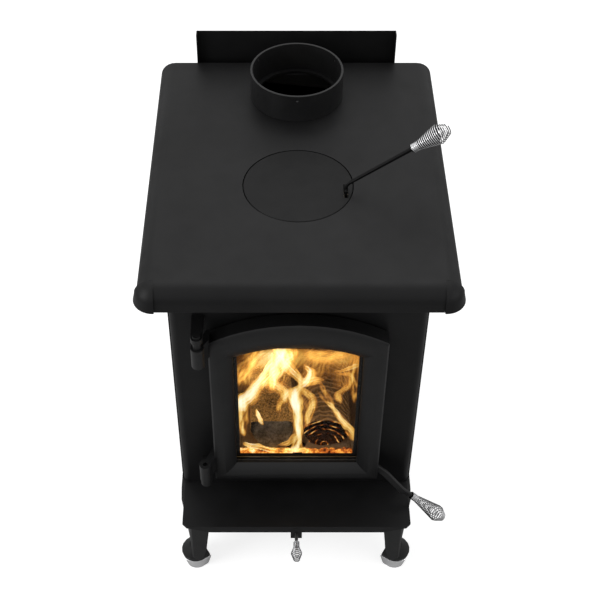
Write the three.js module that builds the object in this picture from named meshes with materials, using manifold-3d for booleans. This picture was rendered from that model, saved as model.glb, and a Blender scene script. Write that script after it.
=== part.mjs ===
// Free-standing plate-steel wood stove with a cooking top.
// Millimetres, +Z up. X = 0 is the plane of symmetry, Y = 0 the face of the front plate with +Y to the
// back, and Z = 0 the floor. The last lines move the whole stove to the middle of its own footprint.
import * as THREE from 'three';
import { mergeVertices } from 'three/addons/utils/BufferGeometryUtils.js';
import Module from 'manifold-3d';

const wasm = await Module();
wasm.setup();

// ------------------------------------------------------------------ driving sizes
const fit = 0.3; // gap left where two pieces meet

const plate = 5; // wall of the welded body
const bodyWidth = 411.5;
const bodyDepth = 500;
const bodyCorner = 14; // outer radius of the rear corners
const frontInset = 4.5; // front plate over its rolled edges, narrower than the body
const frontRoll = 11.7; // outer radius of those edges
const floorTop = 154; // height of the firebox floor and of the ash lip
const topHeight = 698; // height of the cooking surface

const topRoll = 27; // outer radius of the rolled edges
const topSkirt = 14.5; // straight part below the roll
const topOverhang = 37.85; // cooktop beyond each side of the body
const topFront = 59; // reach in front of the front plate
const topRear = 23.5; // reach behind the body
const capProud = 3; // how far a corner cap stands out of the skirt
const capFlare = 2.5; // extra spread at the foot of a cap
const capRaise = 3; // how far a cap ends above the foot of the skirt

const flueBore = 152.4; // takes a six inch flue pipe
const flueWall = 3.8;
const flueHeight = 52;
const flueInset = 71; // middle of the collar, in front of the body's back
const flueLedge = 7; // top plate left showing inside the collar
const flueHole = 4.2; // pipe screw holes
const flueHoleDrop = 9; // below the rim

const lidRadius = 88;
const lidGap = 1.1; // round the lid
const lidThickness = 7;
const lidCentre = 184.5;
const lidSeat = 8; // width of the ring that the lid rests on
const lidRing = 18; // width of that ring under the top plate
const slotWidth = 7;
const slotLength = 33;
const slotX = 76; // middle of the lifter slot
const slotY = 169.5;

const lifterRod = 5; // diameter
const lifterSlope = 36.4; // degrees above level
const lifterRodReach = 123.5; // bend to the first curl
const lifterRise = 12.5; // height of the bend
const lifterCoil = {
  neck: 15, width: 33, tip: 16.5, // outer diameters
  neckLength: 11, coneLength: 36.4, tipLength: 17.6, wire: 2, curls: 20, neckCurls: 4,
};

const shieldInset = 28.25; // sides of the shield, in from the body's sides
const shieldRise = 56; // above the cooking surface
const shieldSheet = 1.6;
const shieldBottom = 176;
const shieldStandoff = 41; // rear face of the shield, behind the body
const shieldReturn = 14; // side returns beside and above the cooktop
const shieldTab = 22; // tabs that carry the shield on the body
const shieldTabInset = 40; // lowest and highest tab, in from the ends of the deep returns
const shieldScrew = 5;

const lipDepth = 99;
const lipInset = 4.75; // ends of the lip, in from the body's sides
const lipChamfer = 8;
const lipFlange = 17;
const lipFlangeInset = 11; // ends of the flange, in from the ends of the lip
const lipTaper = 36; // run of its slanted ends

const doorWidth = 285;
const doorBottom = 203;
const doorSpring = 555.4; // where the stiles meet the arch
const doorCrown = 597;
const stile = 38; // door's edge to the clear opening, at the sides
const railBottom = 36.4; // and below it
const railSpring = 40.4; // and above it, at the stiles
const railCrown = 58.6; // and in the middle
const doorFront = 34; // crest of the moulding, in front of the front plate
const doorBack = 4; // gap behind the casting, closed by the rope
const doorEdge = 29.5; // outer edge of the moulding
const doorInner = 22; // inner edge of the moulding
const ropeProfile = [0.48, 0.68]; // rope groove, as a share of the stile
const glassEdge = 0.87; // rebate for the glass, as a share of the stile
const ropeDepth = 10.5;
const glassThickness = 5;
const glassGasket = 1.5;
const glassLedge = 17; // rear face of the sight ledge, in front of the front plate
const retainerSheet = 2;
const archSteps = 14;

const hingeOut = 14.5; // axis of the hinges, outside the door's edge
const hingeY = -48;
const knuckle = 21; // diameter
const hingePin = 8;
const hingeRun = 0.3; // radial clearance of the pins in the knuckles
const upperKnuckle = [526, 567]; // heights of their lower and upper ends
const upperLug = [581, 591];
const lowerKnuckle = [26, 66]; // above the door's bottom edge
const lowerLug = [13, 25];
const lugWidth = 19;

const latchInset = 8; // pivot, in from the door's edge
const latchUp = 30; // pivot above the door's bottom edge
const latchY = -24; // middle plane of the arm inside the door
const latchArm = 6.4; // thickness of the arm
const latchSlope = -48; // degrees, slope of the coil as it hangs
const latchCoilOut = 2.4; // first curl, outside the end of the ash lip
const latchCoilY = -44;
const latchCoilDrop = 60; // first curl below the pivot
const latchHub = 13;
const latchBolt = 6.4;
const latchFinger = 22; // pivot to tip
const latchGap = 0.35; // finger to keeper, before the last turn draws it behind the head
const latchFingerThick = 4;
const latchCoil = {
  neck: 13, width: 30.5, tip: 14,
  neckLength: 16, coneLength: 59.6, tipLength: 18.9, wire: 2, curls: 24, neckCurls: 6,
};
const keeperHead = 7;
const keeperShank = 4.4;
const keeperReach = 14;

const airRod = 6;
const airDrop = 29; // rod below the firebox floor
const airCoilFront = 110.5; // first curl, in front of the front plate
const airCoil = {
  neck: 10.7, width: 20.3, tip: 10.2,
  neckLength: 10.3, coneLength: 12.9, tipLength: 14.8, wire: 1.6, curls: 13, neckCurls: 4,
};
const airBracketWidth = 20;
const airBracketDrop = 14; // foot of the bracket below the rod's axis
const airBoxWidth = 130;
const airBoxDepth = 18;
const airBoxSheet = 3;
const airSlideSheet = 2.3;
const airInlet = 44; // diameter

const legFront = 89; // front faces of the front legs, in front of the front plate
const legRidgeInset = 16.75; // sharp outer edge of a leg, in from the body's side
const legChamfer = 3.2; // along that edge
const legWidthTop = 36; // front face at the floor plate
const legWidthAnkle = 26;
const legWidthFoot = 17; // where it runs out on the foot
const legKneeOut = 1.25; // widest part, outside the body's side
const legKneeRun = 152; // front to back under the body
const legAnkleRun = 41;
const legWall = 7;
const legRear = 35; // rear faces of the rear legs, behind the body
const ankleHeight = 57;
const footRadius = 26;
const footOffset = 5; // middle of that round, in from the ridge
const footTip = [31.5, 12]; // inner tip of the foot: in from the ridge, and behind the leg's face
const footHeight = 34; // where the foot is widest
const footPadShare = 0.63; // size of the sole, as a share of the widest part
const toeCapLow = 1.5;
const toeCapHigh = 31.5;
const toeCapSheet = 1.8;
const legBolt = 8;

const brick = 30; // thickness of the fireclay panels
const tubeWidth = 22;
const tubeHeight = 518;
const channelWidth = 22;
const channelHeight = 36;
const baffle = 20;

// ------------------------------------------------------------------ places worked out from the sizes
const bodyHalf = bodyWidth / 2;
const lipHalf = bodyHalf - lipInset;
const topBack = bodyDepth + topRear;
const flueCentre = bodyDepth - flueInset;
const hingeX = -doorWidth / 2 - hingeOut;
const latchX = doorWidth / 2 - latchInset;
const latchZ = doorBottom + latchUp;
const sightWidth = doorWidth - 2 * stile;
const sightBottom = doorBottom + railBottom;
const sightSpring = doorSpring - railSpring;
const sightCrown = doorCrown - railCrown;
const legRidge = bodyHalf - legRidgeInset;
const legKnee = bodyHalf + legKneeOut;

// ------------------------------------------------------------------ shaping tools
const V = (x, y, z) => new THREE.Vector3(x, y, z);
const radians = THREE.MathUtils.degToRad;
const lerp = THREE.MathUtils.lerp;

function closedMesh(points, triangles) {
  let volume = 0;
  for (const [a, b, c] of triangles) {
    volume += points[a].dot(points[b].clone().cross(points[c])) / 6;
  }
  const index = triangles.flatMap(([a, b, c]) => (volume > 0 ? [a, b, c] : [a, c, b]));
  const geometry = new THREE.BufferGeometry().setFromPoints(points);
  geometry.setIndex(index);
  return geometry;
}

// Skins a row of rings with equal counts of points: closed round on itself, or capped at both ends.
function loft(rings, closed = false) {
  const count = rings[0].length;
  const triangles = [];
  const last = closed ? rings.length : rings.length - 1;
  for (let i = 0; i < last; i++) {
    const here = i * count;
    const next = ((i + 1) % rings.length) * count;
    for (let j = 0; j < count; j++) {
      const k = (j + 1) % count;
      triangles.push([here + j, here + k, next + k], [here + j, next + k, next + j]);
    }
  }
  if (!closed) {
    const flat = flatten(rings[0]);
    for (const [a, b, c] of THREE.ShapeUtils.triangulateShape(flat, [])) triangles.push([a, c, b]);
    const end = (rings.length - 1) * count;
    const farFlat = flatten(rings.at(-1));
    for (const [a, b, c] of THREE.ShapeUtils.triangulateShape(farFlat, [])) {
      triangles.push([end + a, end + b, end + c]);
    }
  }
  return closedMesh(rings.flat(), triangles);
}

// The ring drawn flat in its own plane, counter-clockwise.
function flatten(ring) {
  const normal = V(0, 0, 0);
  ring.forEach((p, i) => normal.add(p.clone().cross(ring[(i + 1) % ring.length])));
  normal.normalize();
  const u = ring[1].clone().sub(ring[0]).normalize();
  const v = normal.clone().cross(u);
  return ring.map((p) => new THREE.Vector2(p.dot(u), p.dot(v)));
}

function solid(geometry) {
  const bare = geometry.clone();
  bare.deleteAttribute('normal');
  bare.deleteAttribute('uv');
  const merged = mergeVertices(bare, 1e-4);
  return new wasm.Manifold(new wasm.Mesh({
    numProp: 3,
    vertProperties: merged.attributes.position.array,
    triVerts: Uint32Array.from(merged.index.array),
  }));
}

function geometryOf(body) {
  const mesh = body.getMesh();
  const geometry = new THREE.BufferGeometry();
  geometry.setAttribute('position', new THREE.BufferAttribute(mesh.vertProperties, 3));
  geometry.setIndex(new THREE.BufferAttribute(mesh.triVerts, 1));
  geometry.computeVertexNormals();
  return geometry;
}

const join = (...parts) => parts.map(solid).reduce((all, part) => all.add(part));
const cut = (body, ...tools) => tools.map(solid).reduce((rest, tool) => rest.subtract(tool), body);

const shapeOf = (points) => new THREE.Shape(points.map(([x, y]) => new THREE.Vector2(x, y)));

function extrudeZ(shape, low, high, curveSegments = 8) {
  const options = { depth: high - low, bevelEnabled: false, curveSegments };
  return new THREE.ExtrudeGeometry(shape, options).translate(0, 0, low);
}

// The shape is drawn in X and Z, and runs along Y.
function extrudeY(shape, front, back, curveSegments = 8) {
  return extrudeZ(shape, 0, back - front, curveSegments).rotateX(Math.PI / 2).translate(0, back, 0);
}

// The shape is drawn in Y and Z, and runs along X.
function extrudeX(shape, left, right, curveSegments = 8) {
  const turn = new THREE.Matrix4().makeBasis(V(0, 1, 0), V(0, 0, 1), V(1, 0, 0));
  return extrudeZ(shape, 0, right - left, curveSegments).applyMatrix4(turn).translate(left, 0, 0);
}

function block(low, high) {
  const size = high.map((value, i) => value - low[i]);
  const middle = high.map((value, i) => (value + low[i]) / 2);
  return new THREE.BoxGeometry(...size).translate(...middle);
}

function rod(from, to, diameter, sides = 16) {
  const along = to.clone().sub(from);
  const geometry = new THREE.CylinderGeometry(diameter / 2, diameter / 2, along.length(), sides);
  geometry.applyQuaternion(new THREE.Quaternion().setFromUnitVectors(V(0, 1, 0), along.clone().normalize()));
  const middle = from.clone().add(to).multiplyScalar(0.5);
  return geometry.translate(middle.x, middle.y, middle.z);
}

// Turns a profile of [radius, height] about the upright line through x, y.
function turned(profile, x, y, sides = 48) {
  const points = profile.map(([radius, height]) => new THREE.Vector2(radius, height));
  return new THREE.LatheGeometry(points, sides).rotateX(Math.PI / 2).translate(x, y, 0);
}

// Points along a bend from one direction to another, in degrees, about x, y.
function bend(x, y, radius, from, to, steps = 6) {
  const points = [];
  for (let i = 0; i <= steps; i++) {
    const angle = radians(lerp(from, to, i / steps));
    points.push([x + radius * Math.cos(angle), y + radius * Math.sin(angle)]);
  }
  return points;
}

// ------------------------------------------------------------------ the tree and its finishes
const stove = new THREE.Group();

const finish = (color, roughness, metalness) => ({ color, roughness, metalness });
const paint = finish(0x222223, 0.62, 0.2);
const castPaint = finish(0x1f1f20, 0.55, 0.25);
const nickel = finish(0xc9cacc, 0.22, 1.0);
const bareSteel = finish(0x6f6f6f, 0.5, 0.8);
const rope = finish(0x55524c, 0.95, 0);
const clay = finish(0xb9a184, 0.95, 0);
const board = finish(0xd8d2c4, 0.95, 0);
const bark = finish(0x4a3423, 0.9, 0);
const glassy = finish(0x2a1d12, 0.08, 0);

function add(name, part, look) {
  const geometry = part.isBufferGeometry ? part : geometryOf(part);
  geometry.computeVertexNormals();
  const mesh = new THREE.Mesh(geometry, new THREE.MeshStandardMaterial(look));
  mesh.name = name;
  stove.add(mesh);
}

const sides = [['left', -1], ['right', 1]];

// ------------------------------------------------------------------ body: wrap, floor and front plate
const bodyInner = bodyHalf - plate;
const floorBottom = floorTop - plate;
const wallTop = topHeight - plate - fit; // body plates stop under the cooktop

// Both sides and the back are one plate bent to a U.
const wrapFront = frontRoll + fit;
const cornerMiddleX = bodyHalf - bodyCorner;
const cornerMiddleY = bodyDepth - bodyCorner;
const wrapSection = shapeOf([
  [-bodyHalf, wrapFront],
  [-bodyInner, wrapFront],
  ...bend(-cornerMiddleX, cornerMiddleY, bodyCorner - plate, 180, 90),
  ...bend(cornerMiddleX, cornerMiddleY, bodyCorner - plate, 90, 0),
  [bodyInner, wrapFront],
  [bodyHalf, wrapFront],
  ...bend(cornerMiddleX, cornerMiddleY, bodyCorner, 0, 90),
  ...bend(-cornerMiddleX, cornerMiddleY, bodyCorner, 90, 180),
]);

const shieldHalf = bodyHalf - shieldInset;
const shieldTabX = shieldHalf - shieldTab / 2;
const deepReturnTop = topHeight - plate - 3 * fit; // the deep returns stop under the cooktop
const shieldScrewPlaces = [
  ['lower', shieldBottom + shieldTabInset],
  ['upper', deepReturnTop - shieldTabInset],
].flatMap(([level, z]) => sides.map(([hand, side]) => [`${level}_${hand}`, side * shieldTabX, z]));
const screwHoles = shieldScrewPlaces.map(([, x, z]) => (
  rod(V(x, bodyDepth - 2 * plate, z), V(x, bodyDepth + plate, z), shieldScrew + 2 * fit, 10)
));
add('body_wrap', cut(solid(extrudeZ(wrapSection, floorBottom, wallTop)), ...screwHoles), paint);

// The front plate's upright edges are rolled back to meet the wrap.
const frontHalf = (bodyWidth - frontInset) / 2;
const frontSection = shapeOf([
  ...bend(-frontHalf + frontRoll, frontRoll, frontRoll - plate, 270, 180),
  ...bend(-frontHalf + frontRoll, frontRoll, frontRoll, 180, 270),
  ...bend(frontHalf - frontRoll, frontRoll, frontRoll, 270, 360),
  ...bend(frontHalf - frontRoll, frontRoll, frontRoll - plate, 360, 270),
]);

// An arched outline in X and Z: two bottom corners, then the arch from right to left.
function archOutline(halfWidth, bottom, spring, crown) {
  const rise = crown - spring;
  const radius = (halfWidth ** 2 + rise ** 2) / (2 * rise);
  const reach = Math.asin(halfWidth / radius);
  const points = [[-halfWidth, bottom], [halfWidth, bottom]];
  for (let i = 0; i <= archSteps; i++) {
    const angle = lerp(reach, -reach, i / archSteps);
    points.push([radius * Math.sin(angle), crown - radius + radius * Math.cos(angle)]);
  }
  return points;
}

// Outlines between the door's outer edge, share 0, and its sight edge, share 1.
const doorOutline = (share) => archOutline(
  lerp(doorWidth, sightWidth, share) / 2,
  lerp(doorBottom, sightBottom, share),
  lerp(doorSpring, sightSpring, share),
  lerp(doorCrown, sightCrown, share),
);

const mouth = doorOutline(ropeProfile[1] + 0.06); // the rope seals just outside the opening
const frontPlate = cut(
  solid(extrudeZ(frontSection, floorBottom, wallTop)),
  extrudeY(shapeOf(mouth), -plate, 2 * plate),
);
add('front_plate', frontPlate, paint);

const floorHalf = bodyInner - fit;
const floorFront = plate + fit;
const floorBack = bodyDepth - plate - fit;
const floorCorner = bodyCorner;
const floorShape = shapeOf([
  [-floorHalf + floorCorner, floorFront],
  [floorHalf - floorCorner, floorFront],
  [floorHalf, floorFront + floorCorner],
  [floorHalf, floorBack - floorCorner],
  [floorHalf - floorCorner, floorBack],
  [-floorHalf + floorCorner, floorBack],
  [-floorHalf, floorBack - floorCorner],
  [-floorHalf, floorFront + floorCorner],
]);

// Each leg hangs on one bolt, up through its top flange into the floor plate.
const ends = [['front', 1, -legFront], ['rear', -1, bodyDepth + legRear]];
const boltInset = 22; // in from the leg's side wall
const boltX = legKnee - legWall - boltInset;
const boltRun = legFront + 24; // back from the leg's face
const boltPlaces = ends.flatMap(([place, inward, face]) => (
  sides.map(([hand, side]) => [`${place}_${hand}`, side * boltX, face + inward * boltRun])
));
const boltHole = (x, y, low, high) => rod(V(x, y, low), V(x, y, high), legBolt + 2 * fit, 10);
const floorHoles = boltPlaces.map(([, x, y]) => boltHole(x, y, floorBottom - plate, floorTop + plate));
const inletY = 70; // middle of the air inlet and of the port above it
const airPort = rod(V(0, inletY, floorBottom - plate), V(0, inletY, floorTop + plate), airInlet, 24);
const floorPlate = cut(solid(extrudeZ(floorShape, floorBottom, floorTop)), ...floorHoles, airPort);
add('floor_plate', floorPlate, paint);

// ------------------------------------------------------------------ cooktop, corner caps and flue collar
const topHalf = bodyHalf + topOverhang;
const topFlatHalf = topHalf - topRoll; // to the seams of the rolled edges
const skirtBottom = topHeight - topRoll - topSkirt;
const rollMiddle = topHeight - topRoll;
const rollInner = topRoll - plate;
const topRollFront = -topFront + topRoll; // where the front roll begins
const sideSection = shapeOf([
  [-topHalf, skirtBottom],
  [-topHalf + plate, skirtBottom],
  ...bend(-topFlatHalf, rollMiddle, rollInner, 180, 90),
  ...bend(topFlatHalf, rollMiddle, rollInner, 90, 0),
  [topHalf - plate, skirtBottom],
  [topHalf, skirtBottom],
  ...bend(topFlatHalf, rollMiddle, topRoll, 0, 90),
  ...bend(-topFlatHalf, rollMiddle, topRoll, 90, 180),
]);
const frontRollSection = shapeOf([
  [-topFront, skirtBottom],
  [-topFront + plate, skirtBottom],
  ...bend(topRollFront, rollMiddle, rollInner, 180, 90),
  [topRollFront + plate, topHeight - plate],
  [topRollFront + plate, topHeight],
  ...bend(topRollFront, rollMiddle, topRoll, 90, 180),
]);
const lidHoleWidth = 2 * (lidRadius + lidGap);
const lidHole = rod(V(0, lidCentre, rollMiddle), V(0, lidCentre, topHeight + plate), lidHoleWidth, 48);
const flueOpening = flueBore - 2 * flueLedge;
const flueCut = rod(V(0, flueCentre, rollMiddle), V(0, flueCentre, topHeight + plate), flueOpening, 48);
const cooktop = cut(
  join(
    extrudeY(sideSection, topRollFront, topBack),
    extrudeX(frontRollSection, -topFlatHalf, topFlatHalf),
  ),
  lidHole,
  flueCut,
);
add('cooktop', cooktop, paint);

// A pressed cap rounds each front corner: the edge's own section, swept a quarter turn.
function cornerCap(side) {
  const outer = topRoll + capProud;
  const low = skirtBottom + capRaise;
  const section = [
    ...bend(0, rollMiddle, topRoll, 90, 0).map(([r, z]) => [r * (outer / topRoll), z]),
    [outer + capFlare, low],
    [outer + capFlare - plate, low],
    ...bend(0, rollMiddle, rollInner, 0, 60).map(([r, z]) => [r * ((outer - plate) / rollInner), z]),
  ];
  const rings = [];
  const sweepSteps = 10;
  for (let i = 0; i <= sweepSteps; i++) {
    const angle = radians(lerp(0, -90, i / sweepSteps));
    rings.push(section.map(([r, z]) => {
      const reach = Math.max(r, fit);
      return V(
        side * (topFlatHalf + fit + reach * Math.cos(angle)),
        topRollFront - fit + reach * Math.sin(angle),
        z,
      );
    }));
  }
  return loft(rings);
}
for (const [hand, side] of sides) add(`corner_cap_${hand}`, cornerCap(side), paint);

const collarBottom = topHeight + fit;
const collarTop = topHeight + flueHeight;
const collarOuter = flueBore / 2 + flueWall;
const collar = turned([
  [flueBore / 2, collarBottom],
  [collarOuter, collarBottom],
  [collarOuter, collarTop],
  [flueBore / 2, collarTop],
  [flueBore / 2, collarBottom],
], 0, flueCentre, 48);
const pipeHoles = [-90, 30, 150].map((degrees) => {
  const out = V(Math.cos(radians(degrees)), Math.sin(radians(degrees)), 0);
  const middle = V(0, flueCentre, collarTop - flueHoleDrop);
  return rod(
    middle.clone().addScaledVector(out, flueBore / 2 - flueWall),
    middle.clone().addScaledVector(out, collarOuter + flueWall),
    flueHole,
    8,
  );
});
add('flue_collar', cut(solid(collar), ...pipeHoles), castPaint);

// ------------------------------------------------------------------ cook lid, its seat and the lid lifter
const underTop = topHeight - plate - fit;
const seatInner = lidRadius + lidGap - lidSeat;
const seatTop = topHeight - lidThickness - fit;
add('lid_seat_ring', turned([
  [seatInner, seatTop - 6],
  [seatInner + lidRing + lidSeat, seatTop - 6],
  [seatInner + lidRing + lidSeat, underTop],
  [lidRadius + lidGap, underTop],
  [lidRadius + lidGap, seatTop],
  [seatInner, seatTop],
  [seatInner, seatTop - 6],
], 0, lidCentre), castPaint);

const spigot = 8; // stiffening rim under the lid
const lidBottom = topHeight - lidThickness;
const lidDisc = turned([
  [0, lidBottom],
  [seatInner - 6 - spigot, lidBottom],
  [seatInner - 4 - spigot, lidBottom - spigot],
  [seatInner - 3, lidBottom - spigot],
  [seatInner - 2, lidBottom],
  [lidRadius, lidBottom],
  [lidRadius, topHeight - 1],
  [lidRadius - 1, topHeight],
  [0, topHeight],
], 0, lidCentre);
const slot = block(
  [slotX - slotWidth / 2, slotY - slotLength / 2, lidBottom - 2 * spigot],
  [slotX + slotWidth / 2, slotY + slotLength / 2, topHeight + plate],
);
add('cook_lid', cut(solid(lidDisc), slot), castPaint);

// A round bar with a round bend at each inner point.
function bentBar(points, diameter, bendRadius, sections = 10) {
  const path = new THREE.CurvePath();
  let start = points[0];
  for (let i = 1; i < points.length - 1; i++) {
    const before = points[i].clone().add(points[i - 1].clone().sub(points[i]).setLength(bendRadius));
    const after = points[i].clone().add(points[i + 1].clone().sub(points[i]).setLength(bendRadius));
    path.add(new THREE.LineCurve3(start, before));
    path.add(new THREE.QuadraticBezierCurve3(before, points[i], after));
    start = after;
  }
  path.add(new THREE.LineCurve3(start, points.at(-1)));
  const round = new THREE.Shape().absarc(0, 0, diameter / 2, 0, 2 * Math.PI, false);
  return new THREE.ExtrudeGeometry(round, {
    extrudePath: path, steps: 24, bevelEnabled: false, curveSegments: sections / 2,
  });
}

// Bore of a coil's neck, between the flats of its curls.
const stepsPerCurl = 8;
const neckBore = ({ neck, wire }) => (neck - wire) * Math.cos(Math.PI / stepsPerCurl) - wire;

// One unbroken wire wound on an axis: a close neck, a straight cone out to the widest curl and a straight
// taper to the tip. Curls are counted, and its least gap is measured.
function coil(start, along, form, label) {
  const { neck, width, tip, neckLength, coneLength, tipLength, wire, curls, neckCurls } = form;
  const sectionSides = 5;
  const axis = along.clone().normalize();
  const across = V(0, 1, 0).cross(axis).lengthSq() > 0.1 ? V(0, 1, 0) : V(1, 0, 0);
  const u = across.clone().cross(axis).normalize();
  const v = axis.clone().cross(u);
  const widest = neckLength + coneLength;
  const length = widest + tipLength;
  const reachAt = (turns) => (turns < neckCurls
    ? lerp(wire / 2, neckLength, turns / neckCurls)
    : lerp(neckLength, length - wire / 2, (turns - neckCurls) / (curls - neckCurls)));
  const radiusAt = (reach) => {
    const outer = reach < widest
      ? lerp(neck, width, Math.max(0, reach - neckLength) / coneLength)
      : lerp(width, tip, (reach - widest) / tipLength);
    return (outer - wire) / 2;
  };
  const middle = [];
  const total = curls * stepsPerCurl;
  for (let i = 0; i <= total; i++) {
    const reach = reachAt(i / stepsPerCurl);
    const angle = (2 * Math.PI * i) / stepsPerCurl;
    middle.push(start.clone()
      .addScaledVector(axis, reach)
      .addScaledVector(u, radiusAt(reach) * Math.cos(angle))
      .addScaledVector(v, radiusAt(reach) * Math.sin(angle)));
  }
  let gap = Infinity;
  for (let i = 0; i < middle.length; i++) {
    for (let j = i + stepsPerCurl / 2; j < middle.length; j++) {
      gap = Math.min(gap, middle[i].distanceTo(middle[j]) - wire);
    }
  }
  console.log(`${label}: least gap between curls ${gap.toFixed(2)} mm`);
  const rings = middle.map((p, i) => {
    const tangent = middle[Math.min(i + 1, total)].clone().sub(middle[Math.max(i - 1, 0)]).normalize();
    const side = tangent.clone().cross(axis).normalize();
    const up = side.clone().cross(tangent);
    return Array.from({ length: sectionSides }, (_, k) => {
      const turn = (2 * Math.PI * k) / sectionSides;
      return p.clone()
        .addScaledVector(side, (wire / 2) * Math.cos(turn))
        .addScaledVector(up, (wire / 2) * Math.sin(turn));
    });
  });
  return loft(rings);
}

// The plug on a handle's bar that the neck of its coil is screwed on.
function coilPlug(start, along, form) {
  const shoulder = 1; // shows behind the first curl
  return rod(
    start.clone().addScaledVector(along, -shoulder),
    start.clone().addScaledVector(along, form.neckLength - form.wire),
    neckBore(form) - 2 * fit,
    10,
  );
}

const lifterAlong = V(Math.cos(radians(lifterSlope)), 0, Math.sin(radians(lifterSlope)));
const lifterBend = V(slotX, slotY, topHeight + lifterRise);
const lifterCoilStart = lifterBend.clone().addScaledVector(lifterAlong, lifterRodReach);
const toeThickness = slotWidth - 8 * fit;
const toeLength = slotLength - 50 * fit;
const toeTop = topHeight + 6;
const toe = block(
  [slotX - toeThickness / 2, slotY - toeLength / 2, lidBottom + fit],
  [slotX + toeThickness / 2, slotY + toeLength / 2, toeTop],
);
const lifterBar = bentBar([V(slotX, slotY, topHeight + fit), lifterBend, lifterCoilStart], lifterRod, 7);
const lifterPlug = coilPlug(lifterCoilStart, lifterAlong, lifterCoil);
add('lid_lifter', join(toe, lifterBar, lifterPlug), castPaint);
add('lifter_coil', coil(lifterCoilStart, lifterAlong, lifterCoil, 'lifter coil'), nickel);

// ------------------------------------------------------------------ rear heat shield on its spacers
const shieldTop = topHeight + shieldRise;
const shieldBack = bodyDepth + shieldStandoff;
const shieldFront = shieldBack - shieldSheet;
const returnFront = shieldFront - shieldReturn;
const channelSection = (front) => shapeOf([
  [-shieldHalf, front],
  [-shieldHalf + shieldSheet, front],
  [-shieldHalf + shieldSheet, shieldFront],
  [shieldHalf - shieldSheet, shieldFront],
  [shieldHalf - shieldSheet, front],
  [shieldHalf, front],
  [shieldHalf, shieldBack],
  [-shieldHalf, shieldBack],
]);
const tabFront = bodyDepth + fit;
const shieldTabs = shieldScrewPlaces.map(([, x, z]) => block(
  [x - shieldTab / 2, tabFront, z - shieldTab / 2],
  [x + shieldTab / 2, tabFront + shieldSheet, z + shieldTab / 2],
));
const tabHoles = shieldScrewPlaces.map(([, x, z]) => (
  rod(V(x, bodyDepth, z), V(x, tabFront + 2 * shieldSheet, z), shieldScrew + 2 * fit, 10)
));
add('rear_shield', cut(
  join(
    extrudeZ(channelSection(returnFront), shieldBottom, shieldTop),
    extrudeZ(channelSection(tabFront), shieldBottom, deepReturnTop),
    ...shieldTabs,
  ),
  ...tabHoles,
), paint);

const screwHead = 3.2;
const screwHeadFront = tabFront + shieldSheet + fit;
for (const [place, x, z] of shieldScrewPlaces) {
  add(`shield_screw_${place}`, join(
    rod(V(x, bodyDepth - plate, z), V(x, screwHeadFront + 1, z), shieldScrew, 10),
    rod(V(x, screwHeadFront, z), V(x, screwHeadFront + screwHead, z), shieldScrew * 2, 6),
  ), bareSteel);
}

// ------------------------------------------------------------------ ash lip
const lipFlangeHalf = lipHalf - lipFlangeInset - lipTaper; // full-depth part of the flange
const lipSheet = plate;
const lipShape = shapeOf([
  [-lipHalf, -fit],
  [-lipHalf, -lipDepth + lipChamfer],
  [-lipHalf + lipChamfer, -lipDepth],
  [lipHalf - lipChamfer, -lipDepth],
  [lipHalf, -lipDepth + lipChamfer],
  [lipHalf, -fit],
]);
const lipFlangeShape = shapeOf([
  [-lipFlangeHalf - lipTaper, floorTop],
  [-lipFlangeHalf - lipTaper, floorTop - lipSheet],
  [-lipFlangeHalf, floorTop - lipFlange],
  [lipFlangeHalf, floorTop - lipFlange],
  [lipFlangeHalf + lipTaper, floorTop - lipSheet],
  [lipFlangeHalf + lipTaper, floorTop],
]);
const ashLip = join(
  extrudeZ(lipShape, floorTop - lipSheet, floorTop),
  extrudeY(lipFlangeShape, -lipDepth, -lipDepth + lipSheet),
);
add('ash_lip', ashLip, paint);

// ------------------------------------------------------------------ cast legs with bright toe caps
// A leg is an L in plan. Its side wall runs back and swells out to the knee as it climbs, and its front
// face widens inwards.
const legTop = floorBottom - fit;
const climbAt = (height) => Math.max(0, (height - ankleHeight) / (legTop - ankleHeight));
const legWidthAt = (height) => (height < ankleHeight
  ? lerp(legWidthFoot, legWidthAnkle, (height - footHeight) / (ankleHeight - footHeight))
  : lerp(legWidthAnkle, legWidthTop, climbAt(height)));

function legPlan(height, side, inward, face) {
  const flare = climbAt(height) ** 1.5;
  const run = lerp(legAnkleRun, legKneeRun, flare);
  const knee = lerp(legRidge + 1, legKnee, flare ** 0.8);
  const wallSteps = 6;
  const outer = [];
  const inner = [];
  for (let i = 0; i <= wallSteps; i++) {
    const share = i / wallSteps;
    const swell = Math.sin((Math.PI / 2) * Math.min(1, share * 2.4)) ** 1.5;
    const x = lerp(legRidge, knee, swell);
    const depth = lerp(legChamfer, run, share);
    outer.push([x, depth]);
    inner.unshift([x - legWall, Math.max(depth, legWall)]);
  }
  const points = [
    [legRidge - legWidthAt(height), legWall],
    [legRidge - legWidthAt(height), 0],
    [legRidge - legChamfer, 0],
    ...outer,
    ...inner,
  ];
  return points.map(([x, depth]) => V(side * x, face + inward * depth, height));
}

// The foot's widest outline, from its inner tip round the toe to the heel, and back on the inner side.
const footX = legRidge - footOffset;
const footDepth = footRadius - 1; // middle of its round, behind the leg's face
const toeFrom = -44; // degrees from straight ahead, outwards
const heelTo = 226;
const toeArcSteps = 5;
const heelArcSteps = 10;
const footRound = (degrees) => [
  footX + footRadius * Math.sin(radians(degrees)),
  footDepth - footRadius * Math.cos(radians(degrees)),
];
const toeTo = 37; // where the cap ends
const toeOutline = [
  [legRidge - footTip[0], footTip[1]],
  ...Array.from({ length: toeArcSteps + 1 }, (_, i) => footRound(lerp(toeFrom, toeTo, i / toeArcSteps))),
];
const footOutline = [
  ...toeOutline,
  ...Array.from({ length: heelArcSteps }, (_, i) => footRound(lerp(toeTo, heelTo, (i + 1) / heelArcSteps))),
  [footX - footRadius + 7, footDepth],
];
const footMiddle = [footX - 5, footDepth - 8]; // the outline shrinks towards it

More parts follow.
